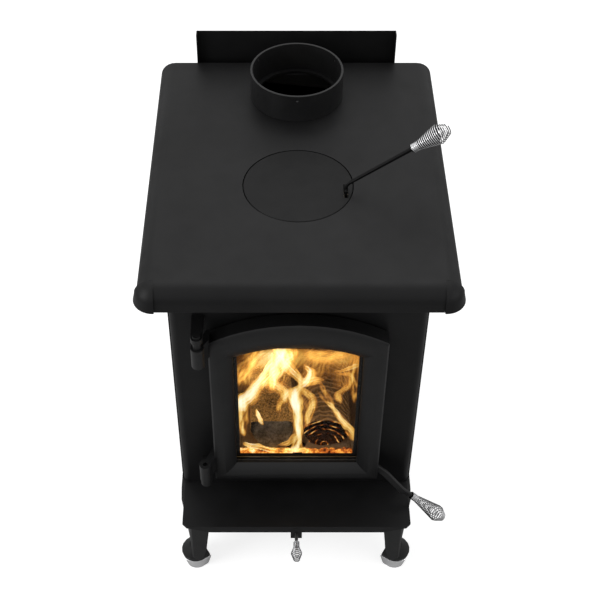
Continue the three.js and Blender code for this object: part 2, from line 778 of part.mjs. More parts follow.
// One level of the foot: its outline drawn in to a share of its size.
const footRing = (outline, share, height, place) => outline.map(([x, depth]) => V(
  place.side * lerp(footMiddle[0], x, share),
  place.face + place.inward * lerp(footMiddle[1], depth, share),
  height,
));
const footShareAt = (height) => lerp(footPadShare, 1, Math.min(1, height / toeCapHigh) ** 0.8);
const footLevels = [
  ...[0, 10, 20, toeCapHigh, footHeight].map((height) => [height, footShareAt(height)]),
  [footHeight + 4, 0.95], [footHeight + 10, 0.82], [footHeight + 16, 0.66], [footHeight + 22, 0.5],
];

function leg(side, inward, face) {
  const heights = [];
  const legSteps = 7;
  for (let i = 0; i <= legSteps; i++) heights.push(lerp(footHeight, legTop, i / legSteps));
  const casting = loft(heights.map((height) => legPlan(height, side, inward, face)));
  const place = { side, inward, face };
  const foot = loft(footLevels.map(([height, share]) => footRing(footOutline, share, height, place)));
  const flangeInner = legRidge - legWidthTop;
  const flangeOuter = legKnee - legWall;
  const flangeRun = [legWall + fit, legKneeRun - fit];
  const flange = extrudeZ(shapeOf([
    [side * flangeInner, face + inward * flangeRun[0]],
    [side * (legRidge - legWall), face + inward * flangeRun[0]],
    [side * flangeOuter, face + inward * legKneeRun * 0.42],
    [side * flangeOuter, face + inward * flangeRun[1]],
    [side * flangeInner, face + inward * flangeRun[1]],
  ]), legTop - legWall, legTop);
  const hole = boltHole(side * boltX, face + inward * boltRun, legTop - 3 * legWall, legTop + legWall);
  return cut(join(casting, foot, flange), hole);
}

// The cap is a bright sheet round the toe, from the foot's inner tip to its outer side.
function toeCap(side, inward, face) {
  const toeReach = footRadius - 8; // from that middle to the toe
  const levels = [toeCapLow, 10, 20, toeCapHigh];
  const place = { side, inward, face };
  const layer = (gap, heights) => heights.map((height) => (
    footRing(toeOutline, footShareAt(height) + gap / toeReach, height, place)
  ));
  const skins = [...layer(fit + toeCapSheet, levels), ...layer(fit, levels.toReversed())];
  return loft(toeOutline.map((_, i) => skins.map((ring) => ring[i])));
}

for (const [place, inward, face] of ends) {
  for (const [hand, side] of sides) {
    add(`leg_${place}_${hand}`, leg(side, inward, face), castPaint);
    add(`toe_cap_${place}_${hand}`, toeCap(side, inward, face), nickel);
  }
}

const boltHeadTop = legTop - legWall - fit;
for (const [place, x, y] of boltPlaces) {
  add(`leg_bolt_${place}`, join(
    rod(V(x, y, boltHeadTop - 2), V(x, y, floorTop - fit), legBolt, 10),
    rod(V(x, y, boltHeadTop - 5.3), V(x, y, boltHeadTop), legBolt * 1.7, 6),
  ), bareSteel);
}

// ------------------------------------------------------------------ arched door
// Every ring of the door is a section carried round the arched outline, mitred at the corners.
function doorRing(section) {
  const outlines = section.map(([share]) => doorOutline(share));
  const rings = outlines[0].map((_, i) => (
    section.map(([, y], j) => V(outlines[j][i][0], y, outlines[j][i][1]))
  ));
  return loft(rings, true);
}

const glassBack = -glassLedge + fit + glassGasket + fit + glassThickness; // rear face of the glass
const doorSection = [
  [0, -doorBack],
  [0, -doorEdge],
  [0.07, -doorEdge - 2.6],
  [0.2, -doorFront + 0.4],
  [0.34, -doorFront],
  [0.5, -doorFront + 0.9],
  [0.7, -doorFront + 3.6],
  [0.9, -doorFront + 8],
  [1, -doorInner],
  [1, -glassLedge],
  [glassEdge, -glassLedge],
  [glassEdge, glassBack],
  [ropeProfile[1], glassBack],
  [ropeProfile[1], -ropeDepth],
  [ropeProfile[0], -ropeDepth],
  [ropeProfile[0], -doorBack],
];

const lowerKnuckleEnds = lowerKnuckle.map((height) => doorBottom + height);
const lowerLugEnds = lowerLug.map((height) => doorBottom + height);
const knuckleAt = ([low, high]) => rod(V(hingeX, hingeY, low), V(hingeX, hingeY, high), knuckle, 24);
const knuckleWeb = ([low, high]) => extrudeZ(shapeOf([
  [hingeX, hingeY - knuckle / 2 + 1],
  [-doorWidth / 2 + 3, -doorEdge - 1],
  [-doorWidth / 2 + 3, -doorBack - 5],
  [-doorWidth / 2 - 2, -doorBack - 5],
  [hingeX, hingeY + knuckle / 2 - 0.5],
]), low + 0.5, high - 0.5);
const pinBore = (low, high) => (
  rod(V(hingeX, hingeY, low), V(hingeX, hingeY, high), hingePin + 2 * hingeRun, 16)
);

// Pocket behind the lower right corner for the latch, open to the right for its arm.
const pocketLeft = latchX - 8.9;
const pocketBottom = doorBottom + 4;
const pocketTop = latchZ + 15;
const pocketFront = latchY - latchArm / 2 - 2 * fit;
const pocket = extrudeY(shapeOf([
  [pocketLeft, pocketBottom],
  [doorWidth / 2 - 2.5, pocketBottom],
  [doorWidth / 2 - 2.5, pocketBottom + 3],
  [doorWidth / 2 + 5, pocketBottom + 3],
  [doorWidth / 2 + 5, pocketTop],
  [pocketLeft, pocketTop],
]), pocketFront, 0);

// Screws of the glass retainers, on the land beside the glass.
const landShare = (glassEdge + ropeProfile[1]) / 2;
const landX = lerp(doorWidth, sightWidth, landShare) / 2;
const retainerScrew = 3.4;
const retainerHeights = [['lower', 0.2], ['upper', 0.8]];
const retainerPlaces = retainerHeights.flatMap(([level, share]) => sides.map(([hand, side]) => (
  [`${level}_${hand}`, side * landX, lerp(sightBottom, sightSpring, share)]
)));
const screwDepth = 5;
const retainerHoles = retainerPlaces.map(([, x, z]) => (
  rod(V(x, glassBack - screwDepth - 1, z), V(x, 0, z), retainerScrew + 2 * fit, 8)
));
const latchBoltHole = rod(V(latchX, pocketFront - 3, latchZ), V(latchX, 0, latchZ), latchBolt + 2 * fit, 12);
const doorFrame = cut(
  join(
    doorRing(doorSection),
    knuckleAt(upperKnuckle),
    knuckleAt(lowerKnuckleEnds),
    knuckleWeb(upperKnuckle),
    knuckleWeb(lowerKnuckleEnds),
  ),
  pinBore(doorBottom, doorCrown),
  pocket,
  latchBoltHole,
  ...retainerHoles,
);
add('door_frame', doorFrame, castPaint);

const ropeInset = 0.01;
add('door_rope', doorRing([
  [ropeProfile[0] + ropeInset, -ropeDepth + 2.5],
  [ropeProfile[0] + 5 * ropeInset, -ropeDepth + fit],
  [ropeProfile[1] - 5 * ropeInset, -ropeDepth + fit],
  [ropeProfile[1] - ropeInset, -ropeDepth + 2.5],
  [ropeProfile[1] - ropeInset, -2.5],
  [ropeProfile[1] - 5 * ropeInset, -fit],
  [ropeProfile[0] + 5 * ropeInset, -fit],
  [ropeProfile[0] + ropeInset, -2.5],
]), rope);

const gasketFront = -glassLedge + fit;
add('glass_gasket', doorRing([
  [glassEdge + 0.01, gasketFront],
  [0.98, gasketFront],
  [0.98, gasketFront + glassGasket],
  [glassEdge + 0.01, gasketFront + glassGasket],
]), rope);

const glassFront = gasketFront + glassGasket + fit;
const glassOutline = doorOutline(glassEdge + 0.015);
add('door_glass', extrudeY(shapeOf(glassOutline), glassFront, glassBack), glassy);

const retainerFront = glassBack + fit;
const retainerBack = retainerFront + retainerSheet;
const retainerRing = doorRing([
  [ropeProfile[1] + 0.02, retainerFront],
  [0.97, retainerFront],
  [0.97, retainerBack],
  [ropeProfile[1] + 0.02, retainerBack],
]);
add('glass_retainer', cut(solid(retainerRing), ...retainerHoles), bareSteel);

const retainerHead = retainerBack + fit;
for (const [place, x, z] of retainerPlaces) {
  add(`retainer_screw_${place}`, join(
    rod(V(x, glassBack - screwDepth, z), V(x, retainerHead + 1, z), retainerScrew, 8),
    rod(V(x, retainerHead, z), V(x, retainerHead + 2, z), retainerScrew * 1.7, 8),
  ), bareSteel);
}

// ------------------------------------------------------------------ hinge lugs and pins
function hingeLug([low, high]) {
  const half = lugWidth / 2;
  return cut(
    solid(extrudeZ(shapeOf([
      [hingeX - half, -fit],
      ...bend(hingeX, hingeY, half, 180, 360, 10),
      [hingeX + half, -fit],
    ]), low, high)),
    rod(V(hingeX, hingeY, low - 1), V(hingeX, hingeY, high + 1), hingePin + 2 * fit, 16),
  );
}
add('hinge_lug_upper', hingeLug(upperLug), castPaint);
add('hinge_lug_lower', hingeLug(lowerLugEnds), castPaint);

const pinHead = 4;
const pinHeadWidth = 13;
add('hinge_pin_upper', join(
  rod(V(hingeX, hingeY, upperKnuckle[0] + 6), V(hingeX, hingeY, upperLug[1] + 1), hingePin, 16),
  rod(V(hingeX, hingeY, upperLug[1] + fit), V(hingeX, hingeY, upperLug[1] + fit + pinHead), pinHeadWidth, 16),
), castPaint);
add('hinge_pin_lower', join(
  rod(V(hingeX, hingeY, lowerLugEnds[0] - 1), V(hingeX, hingeY, lowerKnuckleEnds[1] - 6), hingePin, 16),
  rod(
    V(hingeX, hingeY, lowerLugEnds[0] - fit - pinHead),
    V(hingeX, hingeY, lowerLugEnds[0] - fit),
    pinHeadWidth,
    16,
  ),
), castPaint);

function washer(low, high) {
  return cut(
    solid(rod(V(hingeX, hingeY, low + fit), V(hingeX, hingeY, high - fit), pinHeadWidth, 20)),
    rod(V(hingeX, hingeY, low - 1), V(hingeX, hingeY, high + 1), hingePin + 2 * fit, 16),
  );
}
add('hinge_spacer_upper', washer(upperKnuckle[1], upperLug[0]), castPaint);

// ------------------------------------------------------------------ door latch with its coil handle
const latchAlong = V(Math.cos(radians(latchSlope)), 0, Math.sin(radians(latchSlope)));
const latchPivot = V(latchX, latchY, latchZ);
const latchCoilStart = V(lipHalf + latchCoilOut, latchCoilY, latchZ - latchCoilDrop);
const armFront = latchY - latchArm / 2;
const hubBack = -doorBack - 2.6;

// The arm is a forged flat bar, cranked forward clear of the door's edge: [share, forward, half height].
const armAlong = latchCoilStart.clone().sub(latchPivot).setY(0).normalize();
const armUp = V(-armAlong.z, 0, armAlong.x);
const armRings = [
  [0, 0, 5.9], [0.14, 0, 6.1], [0.3, 0.12, 6.4], [0.75, 1, 6.1], [0.93, 1, 4.8], [0.985, 1, 4.4],
].map(([share, crank, half]) => {
  const middle = latchPivot.clone().lerp(latchCoilStart, share).setY(lerp(latchY, latchCoilY, crank));
  const edge = 1.4; // chamfer along the bar
  const thick = latchArm / 2;
  return [
    [-half, -thick + edge], [-half + edge, -thick], [half - edge, -thick], [half, -thick + edge],
    [half, thick - edge], [half - edge, thick], [-half + edge, thick], [-half, thick - edge],
  ].map(([rise, depth]) => middle.clone().addScaledVector(armUp, rise).add(V(0, depth, 0)));
});
const fingerLeft = keeperHead / 2 + latchGap; // from the keeper's axis to the finger's edge
const keeperSide = 2; // keeper's head to the side of its pocket
const keeperX = pocketLeft + keeperHead / 2 + keeperSide;
const keeperZ = latchZ - latchFinger + 3;
const fingerShape = shapeOf([
  [latchX - 3, latchZ],
  [keeperX + fingerLeft, latchZ - latchFinger + 5],
  [keeperX + fingerLeft, latchZ - latchFinger],
  [keeperX + fingerLeft + 4.5, latchZ - latchFinger],
  [latchX + latchHub / 2 - 0.6, latchZ],
]);
const latchBody = cut(
  join(
    loft(armRings),
    rod(V(latchX, armFront, latchZ), V(latchX, hubBack, latchZ), latchHub, 20),
    extrudeY(fingerShape, hubBack - latchFingerThick, hubBack),
    coilPlug(latchCoilStart, latchAlong, latchCoil),
  ),
  rod(V(latchX, armFront - 1, latchZ), V(latchX, 0, latchZ), latchBolt + 2 * fit, 12),
);
add('door_latch', latchBody, castPaint);
add('latch_coil', coil(latchCoilStart, latchAlong, latchCoil, 'latch coil'), nickel);
const boltHeadFront = hubBack + fit;
add('latch_bolt', join(
  rod(V(latchX, pocketFront - 2.6, latchZ), V(latchX, boltHeadFront + 1, latchZ), latchBolt, 12),
  rod(V(latchX, boltHeadFront, latchZ), V(latchX, boltHeadFront + 3, latchZ), latchHub - 1, 6),
), bareSteel);
const keeperHeadBack = hubBack - latchFingerThick - fit;
add('latch_keeper', join(
  rod(V(keeperX, -keeperReach + 1, keeperZ), V(keeperX, -fit, keeperZ), keeperShank, 12),
  rod(V(keeperX, -keeperReach, keeperZ), V(keeperX, keeperHeadBack, keeperZ), keeperHead, 16),
), bareSteel);

// ------------------------------------------------------------------ air control under the floor
const airBoxTop = floorBottom - fit;
const airBoxBottom = airBoxTop - airBoxDepth;
const airBoxHalf = airBoxWidth / 2;
const airBoxFront = 14;
const airBoxBack = 2 * inletY - airBoxFront;
const slideTop = airBoxBottom - fit;
const slideBottom = slideTop - airSlideSheet;
const slideHalf = airInlet / 2 + 12;
const slideFront = airBoxFront + 4;
const slideBack = inletY + airInlet / 2 + 8;
const slideRailSheet = 2;
const slideRailTop = slideBottom - fit;
const rails = sides.map(([, side]) => extrudeY(shapeOf([
  [side * (slideHalf + fit), airBoxBottom + 1],
  [side * (slideHalf + fit), slideRailTop],
  [side * (slideHalf - 6), slideRailTop],
  [side * (slideHalf - 6), slideRailTop - slideRailSheet],
  [side * (slideHalf + 3), slideRailTop - slideRailSheet],
  [side * (slideHalf + 3), airBoxBottom + 1],
]), airBoxFront, airBoxBack));
const airBox = cut(
  join(block([-airBoxHalf, airBoxFront, airBoxBottom], [airBoxHalf, airBoxBack, airBoxTop]), ...rails),
  block(
    [-airBoxHalf + airBoxSheet, airBoxFront + airBoxSheet, airBoxBottom + airBoxSheet],
    [airBoxHalf - airBoxSheet, airBoxBack - airBoxSheet, airBoxTop + airBoxSheet],
  ),
  rod(V(0, inletY, airBoxBottom - 1), V(0, inletY, airBoxTop), airInlet, 24),
);
add('air_box', airBox, paint);

const airHeight = floorTop - airDrop;
const airCoilStart = V(0, -airCoilFront, airHeight);
const forward = V(0, -1, 0);
add('air_slide', join(
  block([-slideHalf, slideFront, slideBottom], [slideHalf, slideBack, slideTop]),
  block([-airRod, slideFront, airHeight - airRod / 2], [airRod, slideFront + airSlideSheet, slideTop]),
  rod(airCoilStart, V(0, slideFront + 1, airHeight), airRod, 12),
  coilPlug(airCoilStart, forward, airCoil),
), bareSteel);
add('air_coil', coil(airCoilStart, forward, airCoil, 'air coil'), nickel);

const bracketFront = -lipDepth + lipSheet + fit;
add('air_bracket', cut(
  solid(block(
    [-airBracketWidth / 2, bracketFront, airHeight - airBracketDrop],
    [airBracketWidth / 2, bracketFront + 6, floorTop - lipSheet - fit],
  )),
  rod(V(0, bracketFront - 1, airHeight), V(0, bracketFront + 7, airHeight), airRod + 2 * fit, 16),
), paint);

// ------------------------------------------------------------------ firebox lining
const floorBrickTop = floorTop + fit + brick;
const liningTop = tubeHeight - channelHeight / 2 - fit;

const liningHalf = bodyInner - fit;
const liningBack = bodyDepth - plate - fit;
const liningFront = plate + bodyCorner;
const groove = 3; // brick joints moulded in the fire side of each panel

// Where the joints fall when a length is shared out.
const joints = (from, to, count) => (
  Array.from({ length: count - 1 }, (_, i) => lerp(from, to, (i + 1) / count))
);

const hearthBack = liningBack - bodyCorner;
const hearth = cut(
  solid(block([-liningHalf, liningFront, floorTop + fit], [liningHalf, hearthBack, floorBrickTop])),
  ...joints(-liningHalf, liningHalf, 4).map((x) => block(
    [x - groove / 2, liningFront - 1, floorBrickTop - groove],
    [x + groove / 2, hearthBack + 1, floorBrickTop + 1],
  )),
  rod(V(0, inletY, floorTop), V(0, inletY, floorBrickTop + 1), airInlet, 24),
);
add('hearth_panel', hearth, clay);

const panelBottom = floorBrickTop + fit;
const sideBack = liningBack - brick - fit;
for (const [hand, side] of sides) {
  const walls = [side * liningHalf, side * (liningHalf - brick)].sort((a, b) => a - b);
  const face = side * (liningHalf - brick);
  const panel = block([walls[0], liningFront, panelBottom], [walls[1], sideBack, liningTop]);
  const scores = joints(liningFront, sideBack, 4).map((y) => block(
    [face - groove, y - groove / 2, panelBottom - 1],
    [face + groove, y + groove / 2, liningTop + 1],
  ));
  add(`side_panel_${hand}`, cut(solid(panel), ...scores), clay);
}
const rearHalf = liningHalf - bodyCorner;
const rearFace = liningBack - brick;
add('rear_panel', cut(
  solid(block([-rearHalf, rearFace, panelBottom], [rearHalf, liningBack, liningTop])),
  ...joints(-rearHalf, rearHalf, 4).map((x) => block(
    [x - groove / 2, rearFace - groove, panelBottom - 1],
    [x + groove / 2, rearFace + groove, liningTop + 1],
  )),
), clay);

// ------------------------------------------------------------------ burn tubes, channels and baffle
const channelInner = liningHalf - channelWidth;
const channelLow = tubeHeight - channelHeight / 2;
const channelHigh = tubeHeight + channelHeight / 2;
const channelWall = 3;
const channelBack = liningBack - bodyCorner;
const tubeRows = [0.3, 0.54, 0.78].map((share) => share * bodyDepth);
const tubeBore = tubeWidth - 4;
const jetCount = 7;
const jetInset = 40; // end jets, in from the channels
const channels = sides.map(([, side]) => {
  const walls = [side * channelInner, side * liningHalf].sort((a, b) => a - b);
  return block([walls[0], liningFront, channelLow], [walls[1], channelBack, channelHigh]);
});
const channelHollows = sides.map(([, side]) => {
  const walls = [side * (channelInner + channelWall), side * (liningHalf - channelWall)];
  walls.sort((a, b) => a - b);
  return block(
    [walls[0], liningFront - 1, channelLow + channelWall],
    [walls[1], channelBack - channelWall, channelHigh - channelWall],
  );
});
const tubes = tubeRows.map((y) => (
  rod(V(-channelInner - 1, y, tubeHeight), V(channelInner + 1, y, tubeHeight), tubeWidth, 16)
));
const tubeBores = tubeRows.map((y) => rod(
  V(-channelInner - channelWall - 1, y, tubeHeight),
  V(channelInner + channelWall + 1, y, tubeHeight),
  tubeBore,
  12,
));
const jets = tubeRows.flatMap((y) => Array.from({ length: jetCount }, (_, i) => {
  const x = lerp(-channelInner + jetInset, channelInner - jetInset, i / (jetCount - 1));
  return rod(V(x, y - tubeWidth, tubeHeight), V(x, y, tubeHeight), 5, 6);
}));
add('burn_tubes', cut(join(...channels, ...tubes), ...channelHollows, ...tubeBores, ...jets), bareSteel);

const baffleBottom = tubeHeight + tubeWidth / 2 + fit;
const baffleFront = tubeRows[0] - tubeWidth;
const baffleHalf = channelInner - fit;
add('baffle_board', block(
  [-baffleHalf, baffleFront, baffleBottom],
  [baffleHalf, liningBack - fit, baffleBottom + baffle],
), board);

// A folded strip behind the top of the opening sends clean air down the glass.
const washHalf = doorWidth / 2 + 7.5;
const washRise = 52; // above the door's opening
const washTop = sightCrown + washRise;
const washSheet = 2.5;
const washFront = plate + fit;
const washDepth = 26;
const washDrop = 30;
add('air_wash_plate', extrudeX(shapeOf([
  [washFront, washTop],
  [washFront, washTop - 24],
  [washFront + washDepth, washTop - 24],
  [washFront + washDepth, washTop - 24 - washDrop],
  [washFront + washDepth + washSheet, washTop - 24 - washDrop],
  [washFront + washDepth + washSheet, washTop - 24 + washSheet],
  [washFront + washSheet, washTop - 24 + washSheet],
  [washFront + washSheet, washTop],
]), -washHalf, washHalf), bareSteel);

// ------------------------------------------------------------------ fuel on the brick floor
// A split log lying front to back: an uneven round with its split face up and a slanting sawn front end.
function splitLog({ middleX, front, rear, width, height, flat, slant, twist }) {
  const rings = [];
  const pointCount = 14;
  const lengthSteps = 8;
  for (let i = 0; i <= lengthSteps; i++) {
    const share = i / lengthSteps;
    const ring = [];
    for (let j = 0; j < pointCount; j++) {
      const angle = (2 * Math.PI * j) / pointCount;
      const uneven = 1 + 0.05 * Math.sin(3 * angle + i * 0.9 + twist) + 0.03 * Math.sin(5 * angle - i);
      const rise = (1 + Math.min(uneven * Math.sin(angle), flat)) / (1 + flat);
      ring.push(V(
        middleX + (width / 2) * uneven * Math.cos(angle) + twist * i,
        lerp(front, rear, share) + slant * rise * (1 - share),
        height * rise,
      ));
    }
    const low = Math.min(...ring.map((p) => p.z));
    ring.forEach((p) => p.setZ(p.z - low));
    rings.push(ring);
  }
  return loft(rings).translate(0, 0, floorBrickTop + fit);
}
const fireHalf = liningHalf - brick; // between the side panels
add('log_front', splitLog({
  middleX: -0.25 * fireHalf, front: 46, rear: 235, width: 82, height: 56, flat: 0.5, slant: 22, twist: -0.8,
}), bark);
add('log_rear', splitLog({
  middleX: 0.32 * fireHalf, front: 54, rear: 300, width: 90, height: 64, flat: 0.9, slant: 8, twist: 0.9,
}), bark);

// ------------------------------------------------------------------ place the stove on its own footprint
const bounds = new THREE.Box3().setFromObject(stove);
const middle = bounds.getCenter(V(0, 0, 0));
stove.position.set(-middle.x, -middle.y, -bounds.min.z);

export default stove;
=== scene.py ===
from math import cos, pi, radians, sin

import bmesh
import bpy
import numpy as np
from mathutils import Matrix, Vector, noise


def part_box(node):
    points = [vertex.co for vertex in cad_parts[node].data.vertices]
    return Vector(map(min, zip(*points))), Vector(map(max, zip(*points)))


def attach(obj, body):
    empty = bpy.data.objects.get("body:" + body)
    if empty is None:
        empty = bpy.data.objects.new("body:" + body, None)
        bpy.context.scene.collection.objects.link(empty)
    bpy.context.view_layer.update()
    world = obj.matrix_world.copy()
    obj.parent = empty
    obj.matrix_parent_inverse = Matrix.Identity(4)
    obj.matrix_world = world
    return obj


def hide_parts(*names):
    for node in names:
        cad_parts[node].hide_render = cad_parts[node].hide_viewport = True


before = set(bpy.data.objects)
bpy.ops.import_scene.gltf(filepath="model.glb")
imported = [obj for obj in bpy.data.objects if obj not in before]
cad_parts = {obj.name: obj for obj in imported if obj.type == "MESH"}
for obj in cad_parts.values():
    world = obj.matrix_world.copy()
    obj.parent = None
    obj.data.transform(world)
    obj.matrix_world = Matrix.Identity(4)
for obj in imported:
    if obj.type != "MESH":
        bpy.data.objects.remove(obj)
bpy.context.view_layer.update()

# ---------------------------------------------------------------- camera, floor and light
# The camera stands in front of the stove and looks steeply down on it. The room is a pale
# floor with plain white all round, one broad soft light overhead and one at each side.
scene = bpy.context.scene
scene.view_settings.view_transform = "Standard"

# Places are in millimetres from the stove's middle plane, the face of its front plate and
# the floor, as a welder would measure them; at() turns them into metres here.
MIDDLE = (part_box("front_plate")[0].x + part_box("front_plate")[1].x) / 2
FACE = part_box("front_plate")[0].y


def at(x, y, z):
    return Vector((MIDDLE + x / 1000, FACE + y / 1000, z / 1000))


def linked(name, data):
    made = bpy.data.objects.new(name, data)
    scene.collection.objects.link(made)
    return made


LENS, SENSOR, PITCH = 72.66, 36, 44.8
SHIFT_ACROSS, SHIFT_UP = 0.0328, -0.018
CAMERA_PLACE = (-28.4, -1300, 1956)
camera_data = bpy.data.cameras.new("camera")
camera_data.lens, camera_data.sensor_width = LENS, SENSOR
camera_data.shift_x, camera_data.shift_y = SHIFT_ACROSS, SHIFT_UP
camera = linked("camera", camera_data)
camera.location = at(*CAMERA_PLACE)
camera.rotation_euler = (radians(PITCH), 0, 0)
scene.camera = camera

WALL_SEEN, WALL_LIGHT = 1.0, 0.55  # as seen or mirrored, and as it lights the stove
world = bpy.data.worlds.new("studio")
world.use_nodes = True
scene.world = world
sky = world.node_tree
sky.nodes.clear()
sky_out = sky.nodes.new("ShaderNodeOutputWorld")
sky_seen, sky_light = (sky.nodes.new("ShaderNodeBackground") for _ in range(2))
sky_mix = sky.nodes.new("ShaderNodeMixShader")
sky_path = sky.nodes.new("ShaderNodeLightPath")
sky_any, sky_shiny = (sky.nodes.new("ShaderNodeMath") for _ in range(2))
sky_any.operation = sky_shiny.operation = "MAXIMUM"
for background, strength in ((sky_seen, WALL_SEEN), (sky_light, WALL_LIGHT)):
    background.inputs["Color"].default_value = (1, 1, 1, 1)
    background.inputs["Strength"].default_value = strength
sky.links.new(sky_path.outputs["Is Camera Ray"], sky_any.inputs[0])
sky.links.new(sky_path.outputs["Is Transmission Ray"], sky_any.inputs[1])
sky.links.new(sky_any.outputs[0], sky_shiny.inputs[0])
sky.links.new(sky_path.outputs["Is Glossy Ray"], sky_shiny.inputs[1])
sky.links.new(sky_shiny.outputs[0], sky_mix.inputs["Fac"])
sky.links.new(sky_light.outputs[0], sky_mix.inputs[1])
sky.links.new(sky_seen.outputs[0], sky_mix.inputs[2])
sky.links.new(sky_mix.outputs[0], sky_out.inputs["Surface"])


def softbox(name, place, aim, width, depth, power):
    data = bpy.data.lights.new(name, "AREA")
    data.shape, data.size, data.size_y, data.energy = "RECTANGLE", width, depth, power
    lamp = linked(name, data)
    lamp.location = place
    lamp.rotation_euler = (aim - place).to_track_quat("-Z", "Y").to_euler()


HIGH_AIM, LOW_AIM = at(0, 200, 600), at(0, 100, 400)
softbox("overhead_softbox", at(0, 900, 2600), HIGH_AIM, width=2.6, depth=2.0, power=26)
softbox("left_softbox", at(-1900, -900, 1500), LOW_AIM, width=1.2, depth=1.8, power=30)
softbox("right_softbox", at(1900, -900, 1500), LOW_AIM, width=1.6, depth=1.6, power=9)

FLOOR_RADIUS, FLOOR_SIDES = 14, 64
FLOOR_GREY, FLOOR_LIFT = 0.5, 0.75  # what it reflects, and the glow that only the camera sees
floor_mesh = bpy.data.meshes.new("studio_floor")
floor_disc = bmesh.new()
bmesh.ops.create_circle(floor_disc, cap_ends=True, segments=FLOOR_SIDES, radius=FLOOR_RADIUS)
floor_disc.to_mesh(floor_mesh)
floor_disc.free()
floor_material = bpy.data.materials.new("pale_floor")
floor_material.use_nodes = True
floor_tree = floor_material.node_tree
floor_tree.nodes.clear()
floor_out = floor_tree.nodes.new("ShaderNodeOutputMaterial")
floor_add = floor_tree.nodes.new("ShaderNodeAddShader")
floor_diffuse = floor_tree.nodes.new("ShaderNodeBsdfDiffuse")
floor_diffuse.inputs["Color"].default_value = (FLOOR_GREY, FLOOR_GREY, FLOOR_GREY, 1)
floor_glow = floor_tree.nodes.new("ShaderNodeEmission")
floor_path = floor_tree.nodes.new("ShaderNodeLightPath")
floor_level = floor_tree.nodes.new("ShaderNodeMath")
floor_level.operation = "MULTIPLY"
floor_level.inputs[1].default_value = FLOOR_LIFT
floor_tree.links.new(floor_path.outputs["Is Camera Ray"], floor_level.inputs[0])
floor_tree.links.new(floor_level.outputs[0], floor_glow.inputs["Strength"])
floor_tree.links.new(floor_diffuse.outputs[0], floor_add.inputs[0])
floor_tree.links.new(floor_glow.outputs[0], floor_add.inputs[1])
floor_tree.links.new(floor_add.outputs[0], floor_out.inputs["Surface"])
floor_mesh.materials.append(floor_material)
floor = linked("studio_floor", floor_mesh)

# ---------------------------------------------------------------- welded body
# Sides and back are one bent plate, with a front plate, a floor plate and the ash lip
# welded on. All of it is sprayed with matte high-heat paint, which dries a little grainy.


def colour_ramp(tree, source, stops):
    """Colour (three numbers) or grey (one number) at each share of the source."""
    node = tree.nodes.new("ShaderNodeValToRGB")
    while len(node.color_ramp.elements) < len(stops):
        node.color_ramp.elements.new(0.5)
    for element, (share, value) in zip(node.color_ramp.elements, stops):
        colour = (value, value, value) if isinstance(value, (int, float)) else value
        element.position, element.color = share, (*colour, 1)
    tree.links.new(source, node.inputs["Fac"])
    return node.outputs["Color"]


class Finish:
    """One material, built up from a plain shader by the calls below."""

    def __init__(self, name, color, roughness, metallic=0.0, specular=0.5):
        self.material = bpy.data.materials.new(name)
        self.material.use_nodes = True
        self.tree = self.material.node_tree
        self.nodes, self.links = self.tree.nodes, self.tree.links
        self.shader = self.nodes["Principled BSDF"]
        self.set("Base Color", (*color, 1))
        self.set("Roughness", roughness)
        self.set("Metallic", metallic)
        self.set("Specular IOR Level", specular)
        self.coordinates = self.nodes.new("ShaderNodeTexCoord").outputs["Object"]
        self.material.diffuse_color = (*color, 1)

    def set(self, socket, value):
        self.shader.inputs[socket].default_value = value

    def drive(self, socket, source):
        self.links.new(source, self.shader.inputs[socket])

    def noise(self, scale, detail=4.0, stretch=(1, 1, 1), roughness=0.5, distortion=0.0):
        place = self.nodes.new("ShaderNodeMapping")
        place.inputs["Scale"].default_value = stretch
        texture = self.nodes.new("ShaderNodeTexNoise")
        texture.inputs["Scale"].default_value = scale
        texture.inputs["Detail"].default_value = detail
        texture.inputs["Roughness"].default_value = roughness
        texture.inputs["Distortion"].default_value = distortion
        self.links.new(self.coordinates, place.inputs["Vector"])
        self.links.new(place.outputs["Vector"], texture.inputs["Vector"])
        return texture.outputs["Fac"]

    def ramp(self, source, *stops):
        return colour_ramp(self.tree, source, stops)

    def math(self, operation, a, b=0.0):
        node = self.nodes.new("ShaderNodeMath")
        node.operation = operation
        for socket, value in zip(node.inputs, (a, b)):
            if isinstance(value, (int, float)):
                socket.default_value = value
            else:
                self.links.new(value, socket)
        return node.outputs[0]

    def mix(self, share, a, b, blend="MIX"):
        """The share is a number or a source; each colour is three numbers or a source."""
        node = self.nodes.new("ShaderNodeMix")
        node.data_type, node.blend_type = "RGBA", blend
        sockets = (node.inputs[0], node.inputs[6], node.inputs[7])
        for socket, value in zip(sockets, (share, a, b)):
            if isinstance(value, (int, float)):
                socket.default_value = value
            elif isinstance(value, tuple):
                socket.default_value = (*value, 1)
            else:
                self.links.new(value, socket)
        return node.outputs[2]

    def bump(self, height, depth, strength):
        """Depth in metres; a second bump lies on top of the first."""
        node = self.nodes.new("ShaderNodeBump")
        node.inputs["Strength"].default_value = strength
        node.inputs["Distance"].default_value = depth
        self.links.new(height, node.inputs["Height"])
        normal = self.shader.inputs["Normal"]
        if normal.is_linked:
            self.links.new(normal.links[0].from_socket, node.inputs["Normal"])
        self.links.new(node.outputs["Normal"], normal)


PAINT_CLOUDS, PAINT_SHEEN, PAINT_GRAIN = 7, 38, 1400  # patches to the metre
DARKEST, LIGHTEST = 0.75, 1.35  # share of the paint's own tone
SMOOTHEST, ROUGHEST = -0.05, 0.06  # added to its roughness


